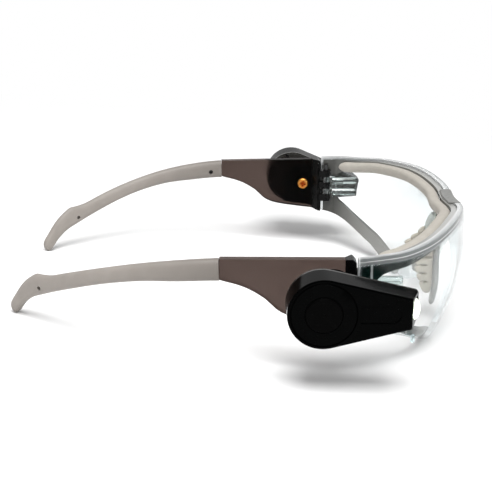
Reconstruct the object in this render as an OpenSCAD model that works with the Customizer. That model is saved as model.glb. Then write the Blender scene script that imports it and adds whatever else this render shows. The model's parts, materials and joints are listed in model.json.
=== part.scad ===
// Wrap-around safety glasses with a small lamp pod on each temple.
// X points forward, Y to the wearer's left and Z up. The glasses rest on a table
// on their two temple tips and the two lower lobes of the lens.

/* [Lens] */
// X position of the foremost point of the lens
lens_front = 81.4; // [79:0.1:84]
// Horizontal radius of the outer face of the lens
lens_radius = 97.4; // [93:0.1:102]
// Vertical radius of the outer face of the lens
lens_vertical_radius = 62; // [58:1:70]
// Thickness of the lens
lens_wall = 2.2; // [1.8:0.1:2.4]
// Angle from the middle where the front turns into the side
wrap_angle = 35.5; // [34.5:0.5:36.5]
// Plan radius of the corner between front and side
corner_radius = 34; // [32:0.5:36]
// Height of the rim at the hinges above the widest line of the pods
brow_height = 17.9; // [16.5:0.1:19]
// Height of the top of the nose arch
arch_height = 3; // [1:0.5:6]
// Depth of the two lower lobes of the lens, below the datum
lobe_depth = 23.7; // [21:0.1:26]

/* [Frame] */
// Thickness of the grey frame along the brow
frame_wall = 2.2; // [1.6:0.1:2.6]
// Thickness of the grey frame at its end plates
plate_wall = 1.4; // [1.2:0.1:1.6]
// Height of the brow pad
pad_height = 4.4; // [4:0.2:5]
// Thickness of the brow pad
pad_thickness = 4.4; // [3:0.2:5]
// Length of each nose pad
nose_pad_length = 20; // [18:1:22]
// Width of each nose pad
nose_pad_width = 5.6; // [5.2:0.2:6.4]
// Thickness of each nose pad
nose_pad_thickness = 2.2; // [1.8:0.1:2.8]

/* [Hinges] */
// Distance of the hinge pin ahead of the temple's front edge
hinge_lead = 2.4; // [2.3:0.05:2.8]
// Distance of the hinge pin inboard of the temple's outer face
hinge_inset = 4.6; // [4.4:0.1:4.8]
// Radius of the hinge knuckles
knuckle_radius = 2; // [1.8:0.05:2.1]
// Radius of the hinge pins
hinge_pin_radius = 0.8; // [0.6:0.05:0.9]

/* [Temples] */
// X position of the front edge of the temples
temple_front = 33.9; // [33:0.1:34.2]
// Length of the rigid temple plate behind the hinge block
temple_length = 40; // [36:0.5:44]
// Thickness of the temple plate
temple_wall = 3; // [2.6:0.1:3.4]
// Angle by which the temples run inward
temple_toe = 2.62; // [1.5:0.1:3.5]
// Thickness of the soft sleeve
sleeve_thickness = 4.4; // [3.8:0.1:5]
// Plan radius of the bend in the sleeve
sleeve_plan_radius = 98; // [92:1:110]
// Side view radius of the bend in the sleeve
sleeve_side_radius = 145; // [130:5:165]
// Diameter of the cord hole in each tip
cord_hole = 1.6; // [1:0.1:2]

/* [Pods] */
// Radius of the round end of the pod
pod_radius = 11.2; // [10.8:0.1:12]
// Depth of the pod, from its back to its outer face
pod_depth = 11.6; // [11.4:0.1:12.6]
// Length of the nose from the middle of the round end
nose_length = 30.2; // [28:0.2:32]
// Height of the nose at its end
nose_height = 8.8; // [8.2:0.1:9.6]
// Diameter of the coin cells
cell_diameter = 16; // [12:0.5:16.2]
// Thickness of one coin cell
cell_thickness = 3.2; // [2.4:0.1:3.2]
// Radius of the push button
button_radius = 5.65; // [4.5:0.05:5.8]
// Travel of the push button
button_travel = 0.5; // [0.3:0.05:0.5]
// Angle at which the left pod rests, nose down from level
left_pod_tilt = 10; // [0:1:15]

/* [Hidden] */

$fn = 64;
seat = 0.05;
frame_gap = 0.16;
running = 0.06;
cut = 0.5;

// Height of the middle of the lens bulge above the datum
bulge_height = 8.5;
// X of the rear edges of the lens and of the frame behind it
lens_rear = temple_front + 0.5;
frame_rear = temple_front + 1.5;
side_angle = 87;
// Normal angles over the front; the clip's notch in the rim ends between the fourth and fifth
front_angles = [0, 2, 4, 5.8, 6.6, 8.2, 10, 12, 14, 16, 18, 20];
front_steps = len(front_angles) - 1;
wrap_steps = 8;
corner_steps = 13;
open_step = front_steps + wrap_steps + corner_steps - 1;
arm_step = front_steps + 1;

// Smooth curve through hand-chosen points [x, value]
function slope(p, i) =
    i == 0 ? (p[1][1] - p[0][1]) / (p[1][0] - p[0][0])
    : i == len(p) - 1 ? (p[i][1] - p[i - 1][1]) / (p[i][0] - p[i - 1][0])
    : (p[i + 1][1] - p[i - 1][1]) / (p[i + 1][0] - p[i - 1][0]);
function segment(p, x, i = 0) = i >= len(p) - 2 || x <= p[i + 1][0] ? i : segment(p, x, i + 1);
function hermite(a, b, ma, mb, w, t) =
    a * (1 + 2 * t) * (1 - t) * (1 - t) + b * t * t * (3 - 2 * t)
    + w * (ma * t * (1 - t) * (1 - t) - mb * t * t * (1 - t));
function smooth(p, x) =
    let (i = segment(p, x), w = p[i + 1][0] - p[i][0], t = (x - p[i][0]) / w)
    hermite(p[i][1], p[i + 1][1], slope(p, i), slope(p, i + 1), w, t);
function mix(a, b, t) = a + (b - a) * t;
function clamp(x, a, b) = min(max(x, a), b);

// Plan of the lens: a wide front arc, a corner arc and a straight side.
// A station is [x, y, normal angle, bulge share].
lens_middle = lens_front - lens_radius;
corner_middle = [lens_middle, 0] + (lens_radius - corner_radius) * [cos(wrap_angle), sin(wrap_angle)];
share_curve = [[0, 1], [30, 1.05], [58, 1.5], [76, 0.9], [87, 0.4]];
function bulge_share(a) = smooth(share_curve, a);
function arc_station(a) =
    a <= wrap_angle ? [lens_middle + lens_radius * cos(a), lens_radius * sin(a), a, bulge_share(a)]
    : [corner_middle[0] + corner_radius * cos(a), corner_middle[1] + corner_radius * sin(a), a, bulge_share(a)];
function side_station(x) =
    let (s = arc_station(side_angle))
    [x, s[1] + (s[0] - x) / tan(side_angle), side_angle, bulge_share(side_angle)];
half_angles = concat(front_angles,
    [for (i = [1:wrap_steps]) mix(front_angles[front_steps], wrap_angle, i / wrap_steps)],
    [for (i = [1:corner_steps]) mix(wrap_angle, side_angle, i / corner_steps)]);
function half_stations(rear) =
    let (s = arc_station(side_angle))
    concat([for (a = half_angles) arc_station(a)], [side_station(mix(s[0], rear, 0.5)), side_station(rear)]);
function mirrored(s) = [s[0], -s[1], -s[2], s[3]];
function stations(rear) =
    let (h = half_stations(rear), n = len(h))
    concat([for (i = [n - 1:-1:1]) mirrored(h[i])], h);
function bulge(z) =
    let (d = z - bulge_height)
    lens_vertical_radius - sqrt(lens_vertical_radius * lens_vertical_radius - d * d);
// Depth and half width of the shallow hollow in the middle of the front
hollow_depth = 2;
hollow_width = 11;
function hollow(y) = hollow_depth * exp(-(y / hollow_width) * (y / hollow_width));
function on_lens(s, z, off) =
    let (r = off - s[3] * bulge(z))
    [s[0] + r * cos(s[2]) - hollow(s[1]), s[1] + r * sin(s[2]), z];

// Place along the lens in plan, from 0 in the middle to 90 at its rear edge
function arc_length(a) = (min(a, wrap_angle) * lens_radius + max(a - wrap_angle, 0) * corner_radius) * PI / 180;
function side_length(x) = (arc_station(side_angle)[0] - x) / sin(side_angle);
edge_span = arc_length(side_angle) + side_length(lens_rear);
function place_at(a) = 90 * arc_length(a) / edge_span;
function edge_place(s) = abs(s[2]) < side_angle - 0.01 ? place_at(abs(s[2]))
    : 90 * (arc_length(side_angle) + side_length(s[0])) / edge_span;

// Rim above brow_height, lens edge as shares of the nose arch and of the lobe
rim_curve = [[0, 1.5], [10, 1.7], [20, 2.5], [29, 3.4], [39, 3.7], [58, 2.6], [66, 1.8], [74, 1.05], [82, 0.9], [90, 0.45]];
arch_curve = [[0, 0], [5, 0.04], [10, 0.25], [15, 0.55], [20, 0.8], [25, 0.935], [29, 0.985], [33, 1]];
lobe_curve = [[33, 1], [39, 0.955], [49, 0.8], [58, 0.615], [63, 0.52], [70, 0.37], [77, 0.22], [84, 0.085], [90, 0]];
side_low = -5.3;
function rim_z(e) = brow_height + smooth(rim_curve, e);
// The lens is lower under the clip
notch_depth = 0.9;
notch_angle = 6.2;
function lens_top_z(e) = rim_z(e) - (e < place_at(notch_angle) ? notch_depth : 0);
function lens_low_z(e) =
    e < 33 ? mix(arch_height, -lobe_depth, smooth(arch_curve, e))
    : mix(side_low, -lobe_depth, smooth(lobe_curve, e));
// Depth of the brow bar below the rim and height of the lower arm above the lens edge
bar_curve = [[0, 4], [21, 3.4], [42, 3.5], [64, 4], [72, 4.6], [78, 5], [85, 6.8], [90, 7]];
arm_curve = [[29, 2.4], [47, 3.8], [64, 4.1], [74, 4.8], [80, 6.4], [84, 7.8], [90, 8.4]];
frame_drop = 0.9;
frame_lift = 0.5;

// Closed shell between two grids of points, with the cells of keep left out where 0
function cell(keep, i, j) = i < 0 || j < 0 || i >= len(keep) || j >= len(keep[0]) ? 0 : keep[i][j];
function shell_faces(n, m, keep) =
    let (o = function(i, j) i * m + j, q = function(i, j) n * m + i * m + j)
    [for (i = [0:n - 2]) for (j = [0:m - 2]) if (cell(keep, i, j) == 1)
        each concat(
            [[o(i, j), o(i, j + 1), o(i + 1, j + 1)], [o(i, j), o(i + 1, j + 1), o(i + 1, j)],
             [q(i, j), q(i + 1, j + 1), q(i, j + 1)], [q(i, j), q(i + 1, j), q(i + 1, j + 1)]],
            cell(keep, i, j - 1) == 1 ? [] : [[o(i, j), o(i + 1, j), q(i + 1, j)], [o(i, j), q(i + 1, j), q(i, j)]],
            cell(keep, i, j + 1) == 1 ? []
                : [[o(i + 1, j + 1), o(i, j + 1), q(i, j + 1)], [o(i + 1, j + 1), q(i, j + 1), q(i + 1, j + 1)]],
            cell(keep, i - 1, j) == 1 ? [] : [[o(i, j + 1), o(i, j), q(i, j)], [o(i, j + 1), q(i, j), q(i, j + 1)]],
            cell(keep, i + 1, j) == 1 ? []
                : [[o(i + 1, j), o(i + 1, j + 1), q(i + 1, j + 1)], [o(i + 1, j), q(i + 1, j + 1), q(i + 1, j)]])];
module shell(outer, inner, keep) {
    n = len(outer);
    m = len(outer[0]);
    polyhedron(points = concat([for (r = outer) each r], [for (r = inner) each r]),
        faces = shell_faces(n, m, keep), convexity = 6);
}

// Solid swept through rings of points, closed at both ends
module swept(rings) {
    n = len(rings);
    m = len(rings[0]);
    polyhedron(points = [for (r = rings) each r],
        faces = concat(
            [for (i = [0:n - 2]) for (j = [0:m - 1])
                each [[i * m + j, i * m + (j + 1) % m, (i + 1) * m + (j + 1) % m],
                      [i * m + j, (i + 1) * m + (j + 1) % m, (i + 1) * m + j]]],
            [[for (j = [m - 1:-1:0]) j]], [[for (j = [0:m - 1]) (n - 1) * m + j]]),
        convexity = 4);
}
function softened(x, p) = sign(x) * pow(abs(x), 2 / p);
// Rounded box outline of half sizes a and b
function soft_ring(a, b, count, p = 3) =
    [for (j = [0:count - 1]) [a * softened(cos(360 * (j + 0.5) / count), p), b * softened(sin(360 * (j + 0.5) / count), p)]];

// Lens

lens_rows = 12;
lens_stations = stations(lens_rear);
function lens_grid(off) =
    [for (s = lens_stations) let (e = edge_place(s))
        [for (j = [0:lens_rows]) on_lens(s, mix(lens_low_z(e), lens_top_z(e), j / lens_rows), off)]];
gate_angle = 42;
module lens() {
    gate = on_lens(arc_station(gate_angle), lens_low_z(place_at(gate_angle)), -lens_wall / 2);
    color([0.86, 0.92, 0.95, 0.35]) {
        shell(lens_grid(0), lens_grid(-lens_wall), [for (i = [1:len(lens_stations) - 1]) [for (j = [1:lens_rows]) 1]]);
        // Stub left where the moulding was cut from its gate
        translate([gate[0], -gate[1], gate[2] - 1.5]) cylinder(r = 0.75, h = 2.5, $fn = 20);
    }
}

// Frame behind the lens

frame_stations = stations(frame_rear);
arm_cells = 2;
open_cells = 5;
bar_cells = 2;
function frame_wall_at(e) = e < 76 ? frame_wall : mix(frame_wall, plate_wall, min((e - 76) / 7, 1));
function frame_rows(e) =
    let (top = rim_z(e) - frame_drop, low = lens_low_z(e) + frame_lift,
        bar = top - smooth(bar_curve, e), arm = e < 29 ? mix(low, bar, 0.2) : low + smooth(arm_curve, e))
    concat([for (j = [0:arm_cells]) mix(low, arm, j / arm_cells)],
        [for (j = [1:open_cells]) mix(arm, bar, j / open_cells)],
        [for (j = [1:bar_cells]) mix(bar, top, j / bar_cells)]);
function frame_grid(inner) =
    [for (s = frame_stations) let (e = edge_place(s), off = -lens_wall - frame_gap - (inner ? frame_wall_at(e) : 0))
        [for (z = frame_rows(e)) on_lens(s, z, off)]];
frame_middle = (len(frame_stations) - 1) / 2;
function frame_cell(i, j) =
    let (k = i < frame_middle ? frame_middle - i - 1 : i - frame_middle)
    j >= arm_cells + open_cells ? 1 : j < arm_cells ? (k >= arm_step ? 1 : 0) : (k >= open_step ? 1 : 0);
module brow_frame() {
    color([0.36, 0.36, 0.35, 0.8]) difference() {
        union() {
            shell(frame_grid(false), frame_grid(true),
                [for (i = [0:len(frame_stations) - 2]) [for (j = [0:arm_cells + open_cells + bar_cells - 1]) frame_cell(i, j)]]);
            for (s = [0, 1]) mirror([0, s, 0]) pin_ear();
        }
        for (s = [0, 1]) mirror([0, s, 0]) {
            translate([hinge_x, hinge_y, hinge_low - 0.3])
                cylinder(r = knuckle_radius + 0.25, h = hinge_high - hinge_low + 0.6);
            translate([hinge_x, hinge_y, hinge_low - cut])
                cylinder(r = hinge_pin_radius + running, h = brow_height - hinge_low + 2 * cut);
        }
    }
}
// Ear of the end plate that holds the top of the hinge pin
module pin_ear() {
    ear_low = hinge_high + 0.3;
    ear_high = brow_height - frame_drop - 0.4;
    translate([hinge_x, hinge_y, ear_low]) cylinder(r = knuckle_radius, h = ear_high - ear_low);
    translate([hinge_x - knuckle_radius * 0.4, hinge_y, ear_low])
        cube([3.4, side_face - hinge_y - lens_wall - 0.8, ear_high - ear_low]);
}

// Soft pad along the wearer's side of the brow

pad_inset = lens_wall + frame_gap + frame_wall + 0.1;
pad_end = 77;
pad_steps = 26;
pad_points = 12;
function pad_angle(i) = pad_end * (1 - pow(1 - abs(i) / pad_steps, 1.35)) * sign(i);
function pad_scale(a) = sqrt(max(1 - pow(clamp((abs(a) - pad_end + 9) / 9.2, 0, 1), 2), 0));
function pad_ring(a) =
    let (s = a < 0 ? mirrored(arc_station(-a)) : arc_station(a), k = pad_scale(a),
        zc = rim_z(place_at(abs(a))) - frame_drop - 0.1 - pad_height / 2)
    [for (p = soft_ring(pad_thickness / 2, pad_height / 2, pad_points))
        on_lens(s, zc + p[1] * k, -pad_inset - pad_thickness / 2 - bulge_slack + p[0] * mix(1, k, 0.6))];
bulge_slack = 0.15;
module brow_pad() {
    color([0.72, 0.69, 0.65]) swept([for (i = [-pad_steps:pad_steps]) pad_ring(pad_angle(i))]);
}

// Clip over the middle of the rim

cover_span = 11.4;
cover_steps = 6;
// Cross-section of the clip as [distance out of the rim, height above it]
cover_section = [[-4.6, 0.1], [0.3, 0.1], [0.4, -1.7], [1, -1.5], [0.7, 0.75], [-0.1, 1.35], [-4, 1.25]];
function cover_ring(a) =
    let (rim = rim_z(place_at(abs(a))) - notch_depth, s = a < 0 ? mirrored(arc_station(-a)) : arc_station(a))
    [for (p = cover_section) let (q = on_lens(s, rim, p[0])) [q[0], q[1], rim + p[1]]];
module bridge_cover() {
    color([0.34, 0.34, 0.33]) swept([for (i = [-cover_steps:cover_steps]) cover_ring(cover_span / 2 * i / cover_steps)]);
}

// Nose band: one bow with two legs and a neck that meets the lens

// Points of the bow as [distance behind the front of the lens, y, z]
bow = [[8.9, 0, 10.9], [9.2, 4.6, 9.6], [9.8, 8.8, 5.4], [9.9, 12.4, -1.8], [10.9, 16, -10], [13.4, 19.4, -17]];
bow_steps = 20;
function bow_axis(t, k) = (k == 0 ? lens_front : 0) + (k == 0 ? -1 : 1) * smooth([for (i = [0:len(bow) - 1]) [i, bow[i][k]]], t);
function bow_point(u) = let (t = abs(u)) [bow_axis(t, 0), bow_axis(t, 1) * (u < 0 ? -1 : 1), bow_axis(t, 2)];
function unit(v) = v / norm(v);
function bow_ring(u) =
    let (d = unit(bow_point(min(u + 0.05, 5)) - bow_point(max(u - 0.05, -5))), x = unit(cross(cross(d, [1, 0, 0]), d)),
        w = cross(x, d))
    [for (p = soft_ring(1.1, bow_width(abs(u)) / 2, 8, 2.6)) bow_point(u) + x * p[0] + w * p[1]];
function bow_width(t) = smooth([[0, 4], [1, 4.2], [2, 4.4], [3, 4.4], [4, 4.2], [5, 3.6]], t);
neck_width = 6.4;
neck_height = 2.8;
module nose_bridge() {
    color([0.5, 0.5, 0.48]) {
        swept([for (i = [-bow_steps:bow_steps]) bow_ring(5 * i / bow_steps)]);
        translate([lens_front - 9, -neck_width / 2, bow[0][2] - neck_height / 2])
            cube([9 - hollow_depth - lens_wall - 0.2, neck_width, neck_height]);
        for (s = [0, 1]) mirror([0, s, 0]) pad_place() translate([stud_start, 0, 0]) rotate([0, 90, 0])
            cylinder(r = stud_radius, h = stud_length, $fn = 24);
    }
}

// Nose pads

module rounded(w, h, r) {
    square([w - 2 * r, h], center = true);
    square([w, h - 2 * r], center = true);
    for (x = [-1, 1]) for (y = [-1, 1]) translate([x * (w / 2 - r), y * (h / 2 - r)]) circle(r = r);
}
slot_pitch = 2.9;
slot_length = 3.2;
stud_radius = 0.6;
stud_start = 1.4;
stud_length = 3.8;
module pad_place() {
    translate([lens_front - 15.5, 12.6, -3.2]) rotate([0, 0, -10]) children();
}
// Each pad slides onto a stud of the nose band
module nose_pad() {
    color([0.68, 0.65, 0.58]) pad_place() difference() {
        rotate([111, 0, 0]) linear_extrude(height = nose_pad_thickness, center = true) difference() {
            union() {
                rounded(nose_pad_width, nose_pad_length, 2.4);
                translate([nose_pad_width / 2, 0]) square([1.6, 5], center = true);
            }
            for (i = [-3:2]) translate([-0.6, (i + 0.5) * slot_pitch]) rounded(slot_length, 0.95, 0.45);
        }
        translate([stud_start - 0.1, 0, 0]) rotate([0, 90, 0]) cylinder(r = stud_radius + running, h = 6);
    }
}

// Hinges

side_face = side_station(lens_rear)[1] - 0.6;
hinge_x = temple_front + hinge_lead;
hinge_y = side_face - hinge_inset;
hinge_low = -0.3;
hinge_high = 13.4;
knuckle_gap = 0.1;
// Room between the hinge axis and the end plate of the frame
plate_clear = hinge_inset - lens_wall - plate_wall - frame_gap;
// Borders of the five knuckles, black and clear in turn
knuckles = [hinge_low, 2.9, 5.2, 8.2, 10.4, hinge_high];
module knuckle(i, reach) {
    low = knuckles[i] + knuckle_gap / 2;
    high = knuckles[i + 1] - knuckle_gap / 2;
    translate([hinge_x, hinge_y, low]) cylinder(r = knuckle_radius, h = high - low);
    translate([hinge_x + min(reach, 0), hinge_y - knuckle_radius * 0.8, low])
        cube([abs(reach), knuckle_radius * 0.8 + (reach < 0 ? knuckle_radius * 0.8 : plate_clear), high - low]);
}
module pin_bore() {
    translate([hinge_x, hinge_y, hinge_low - cut])
        cylinder(r = hinge_pin_radius + running, h = hinge_high - hinge_low + 2 * cut);
}
// Front edge of the end plate, where the window of the frame starts
window_x = arc_station(half_angles[open_step])[0];
lug_length = 10.8;
lug_wall = 0.9;
lug_web_low = 2;
lug_web_high = 10.3;
// Clear lug: two knuckles, a web beside the frame and two ribs that reach the lens
module hinge_lug() {
    color([0.8, 0.83, 0.84, 0.6]) difference() {
        intersection() {
            union() {
                for (i = [1, 3]) {
                    knuckle(i, 3);
                    translate([hinge_x + 2.6, hinge_y - knuckle_radius * 1.25, knuckles[i] + 0.25])
                        cube([lug_length, 1.6, knuckles[i + 1] - knuckles[i] - 0.5]);
                }
                translate([hinge_x + 2.6, hinge_y - knuckle_radius, lug_web_low])
                    cube([lug_length, lug_wall, lug_web_high - lug_web_low]);
                translate([hinge_x + 2.6, hinge_y - knuckle_radius, lug_web_low])
                    cube([1.5, knuckle_radius + plate_clear, lug_web_high - lug_web_low]);
                translate([window_x + 1.1, hinge_y - knuckle_radius, lug_web_low + 1.4])
                    cube([2.8, 2 * knuckle_radius + 2, lug_web_high - lug_web_low - 2.8]);
            }
            translate([corner_middle[0], corner_middle[1], hinge_low])
                cylinder(r = corner_radius - lens_wall - 0.3, h = hinge_high - hinge_low);
        }
        pin_bore();
    }
}
module hinge_pin() {
    color("silver") translate([hinge_x, hinge_y, hinge_low - 0.2])
        cylinder(r = hinge_pin_radius, h = brow_height - frame_drop - 0.9 - hinge_low);
}

// Temple plate and the black hinge block at its front

temple_top = 18;
block_length = 3.6;
plate_front = temple_front - block_length;
plate_rear = plate_front - temple_length;
low_curve = [[-9.7, 11], [-1.5, 8.5], [4.9, 4.7], [8.5, 1.2], [11.5, -0.6], [16.3, -1.9], [24.2, -3.2], [30.3, -4.1], [33.9, -5.2]];
function low_x(x) = mix(-9.7, 33.9, (x - plate_rear) / (temple_front - plate_rear));
function temple_low(x) = smooth(low_curve, low_x(x));
// Moves a shape drawn along the outer face line into the toed-in temple
module along_temple() {
    translate([temple_front, side_face, 0]) rotate([0, 0, temple_toe]) translate([-temple_front, 0, 0]) children();
}
// Extrudes a side view inward from depth a to depth b below the outer face
module inward(a, b) {
    translate([0, -a, 0]) rotate([90, 0, 0]) linear_extrude(height = b - a) children();
}
low_steps = 22;
module temple_outline() {
    polygon(concat([[plate_rear, temple_top - 0.1], [plate_front, temple_top]],
        [for (i = [low_steps:-1:0]) let (x = mix(plate_rear, plate_front, i / low_steps)) [x, temple_low(x)]]));
}
tongue_length = 12;
tongue_height = 3.6;
tongue_wall = 1.4;
tongue_middle = 14.1;
module temple_arm() {
    color([0.42, 0.37, 0.36, 0.75]) difference() {
        along_temple() {
            inward(0, temple_wall) temple_outline();
            inward(temple_wall / 2 - tongue_wall / 2, temple_wall / 2 + tongue_wall / 2)
                translate([plate_rear - tongue_length, tongue_middle - tongue_height / 2])
                    square([tongue_length + 1, tongue_height]);
        }
        pivot_bore(shaft_radius + 0.02);
    }
}
module hinge_block() {
    color([0.05, 0.05, 0.05]) difference() {
        union() {
            along_temple() intersection() {
                inward(0, hinge_inset + 1) polygon([[plate_front, temple_top], [temple_front - 1.2, temple_top],
                    [temple_front, temple_top - 1.2], [temple_front, temple_low(temple_front)],
                    [plate_front, temple_low(plate_front)]]);
                translate([0, 0, temple_low(temple_front) - 1]) linear_extrude(height = 2 * temple_top)
                    polygon([[plate_front, 1], [plate_front, -temple_wall], [temple_front - 1.6, -hinge_inset - 0.9],
                        [temple_front - 0.3, -hinge_inset - 0.6], [temple_front, -hinge_inset], [temple_front, 1]]);
            }
            for (i = [0, 2, 4]) knuckle(i, -hinge_lead - 0.8);
        }
        pin_bore();
        for (i = [1, 3]) translate([hinge_x, hinge_y, knuckles[i] - knuckle_gap / 2])
            cylinder(r = knuckle_radius + 0.25, h = knuckles[i + 1] - knuckles[i] + knuckle_gap);
        translate([hinge_x, hinge_y, hinge_high]) cylinder(r = knuckle_radius + 0.25, h = temple_top);
    }
}

// Soft sleeve: a long bend, then a short down-turned tip with a small crest

side_bend_start = -7;
plan_bend_end = -62;
tip_start = -74;
tip_radius = 9;
tip_angle = 52;
tip_length = 9.1;
bend_steps = 26;
tip_steps = 6;
sleeve_points = 16;
sleeve_middle = 14.1;
function side_angle_at(x) = asin((side_bend_start - x) / sleeve_side_radius);
bend_front = plate_rear;
function side_drop(x) = sleeve_side_radius * (1 - cos(side_angle_at(x)));
tip_first = side_angle_at(tip_start);
function tip_z() = sleeve_middle - side_drop(tip_start);
// Side view points [x, z, angle] from the front of the sleeve to its tip
side_path = concat(
    [for (i = [0:bend_steps]) let (x = mix(bend_front, tip_start, i / bend_steps))
        [x, sleeve_middle - (x > side_bend_start ? 0 : side_drop(x)), x > side_bend_start ? 0 : side_angle_at(x)]],
    [for (i = [1:tip_steps]) let (a = mix(tip_first, tip_angle, i / tip_steps))
        [tip_start - tip_radius * (sin(a) - sin(tip_first)), tip_z() - tip_radius * (cos(tip_first) - cos(a)), a]],
    let (x = tip_start - tip_radius * (sin(tip_angle) - sin(tip_first)), z = tip_z() - tip_radius * (cos(tip_first) - cos(tip_angle)))
        [for (i = [1:tip_steps]) let (d = tip_length * (1 - pow(1 - i / tip_steps, 1.8)))
            [x - d * cos(tip_angle), z - d * sin(tip_angle), tip_angle]]);
// Plan offset of the centreline
plan_first = temple_toe;
function plan_angle(x) = asin(sin(plan_first) + (bend_front - max(x, plan_bend_end)) / sleeve_plan_radius);
joint_y = side_face - temple_wall / 2 - (temple_front - bend_front) * tan(temple_toe);
function plan_y(x) = joint_y - sleeve_plan_radius * (cos(plan_first) - cos(plan_angle(x)))
    - max(plan_bend_end - x, 0) * tan(plan_angle(x));
function path_length(i) = i == 0 ? 0
    : path_length(i - 1) + norm([side_path[i][0] - side_path[i - 1][0], side_path[i][1] - side_path[i - 1][1]]);
sleeve_length = path_length(len(side_path) - 1);
height_curve = [[0, 7.4], [14, 6.8], [26, 6], [39, 5.4], [46, 5.5], [53, 5.8], [60, 6.1], [65, 7.7], [69, 6.9], [73, 5.7], [80, 4.6]];
end_round = 2.2;
function sleeve_ring(i) =
    let (p = side_path[i], l = path_length(i), r = max(l - sleeve_length + end_round, 0) / (end_round + 0.1),
        k = sqrt(1 - r * r), th = plan_angle(p[0]), ps = p[2],
        h = smooth(height_curve, min(l, 80)) * mix(1, k, 0.9), t = (sleeve_thickness - 0.6 * l / sleeve_length) * k,
        out = [-sin(th), cos(th), 0], up = [-sin(ps) * cos(th), -sin(ps) * sin(th), cos(ps)])
    [for (q = soft_ring(t / 2, h / 2, sleeve_points, 3.4)) [p[0], plan_y(p[0]), p[1]] + out * q[0] + up * q[1]];
sleeve_rings = [for (i = [0:len(side_path) - 1]) sleeve_ring(i)];
hole_x = -70.6;
module temple_sleeve() {
    color([0.66, 0.64, 0.61]) difference() {
        swept(sleeve_rings);
        along_temple() inward(temple_wall / 2 - tongue_wall / 2 - 0.1, temple_wall / 2 + tongue_wall / 2 + 0.1)
            translate([plate_rear - tongue_length - 0.3, tongue_middle - tongue_height / 2 - 0.1])
                square([tongue_length + 1, tongue_height + 0.2]);
        translate([hole_x, plan_y(hole_x), sleeve_middle - side_drop(hole_x) + 0.3]) rotate([0, 0, plan_angle(hole_x)])
            rotate([90, 0, 0]) cylinder(d = cord_hole, h = 12, center = true);
    }
}

// Pods. Their own axes: x along the nose, y outward from the back, z up

pod_x = 22.1;
pod_z = 6.7;
pod_back_y = side_face + 6.9;
pivot_x = 4.1;
pivot_z = 0.5;
shaft_radius = 1.2;
module pod_place(tilt) {
    translate([pod_x + pivot_x, pod_back_y, pod_z + pivot_z]) rotate([0, tilt, 0]) translate([-pivot_x, 0, -pivot_z]) children();
}
// Extrudes a side view outward from depth a to depth b of the pod
module outward(a, b) {
    translate([0, b, 0]) rotate([90, 0, 0]) linear_extrude(height = b - a) children();
}
module pivot_bore(r) {
    translate([pod_x + pivot_x, pod_back_y, pod_z + pivot_z]) rotate([90, 0, 0]) cylinder(r = r, h = 30, center = true);
}
module round_at(r, a, b) {
    outward(a, b) circle(r = r);
}
nose_corner = 1.3;
nose_half = nose_height / 2;
// Angle of the straight sides that touch the round end and the small corners
nose_reach = nose_length - nose_corner;
side_tangent = asin((pod_radius - nose_half) / norm([nose_reach, nose_half - nose_corner])) + atan2(nose_half - nose_corner, nose_reach);
// Outline of the pod in side view, drawn smaller by inset
module pod_outline(inset = 0) {
    r = pod_radius - inset;
    c = nose_corner - min(inset, nose_corner - 0.2);
    x = nose_reach - max(inset - nose_corner + 0.2, 0);
    z = nose_half - max(inset, nose_corner - c) - c;
    n = side_normal(r, c, x, z);
    circle(r = r);
    for (s = [-1, 1]) translate([x, s * z]) circle(r = c);
    polygon([[r * cos(n), r * sin(n)], [x + c * cos(n), z + c * sin(n)], [x + c, z], [x + c, -z],
        [x + c * cos(n), -z - c * sin(n)], [r * cos(n), -r * sin(n)]]);
}
// Direction of the common normal of the round end and a corner circle
function side_normal(r, c, x, z) = atan2(z, x) + acos((r - c) / norm([x, z]));

back_wall = 1.6;
cover_radius = pod_radius - 0.95;
cell_bore = cell_diameter / 2 + 0.2;
floor_depth = pod_depth - 1.8;
cavity_start = cell_bore + 1;
lens_bore = 3.7;
lamp_depth = pod_depth / 2;
nose_slant = 18.4;
// Everything ahead of the slanted front face
module ahead_of_face(gap = 0) {
    translate([nose_length + gap, back_wall, -pod_radius]) rotate([0, 0, nose_slant]) cube([20, 40, 2 * pod_radius]);
    translate([nose_length + gap, -20, -pod_radius]) cube([20, 20 + back_wall + 0.01, 2 * pod_radius]);
}
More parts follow.
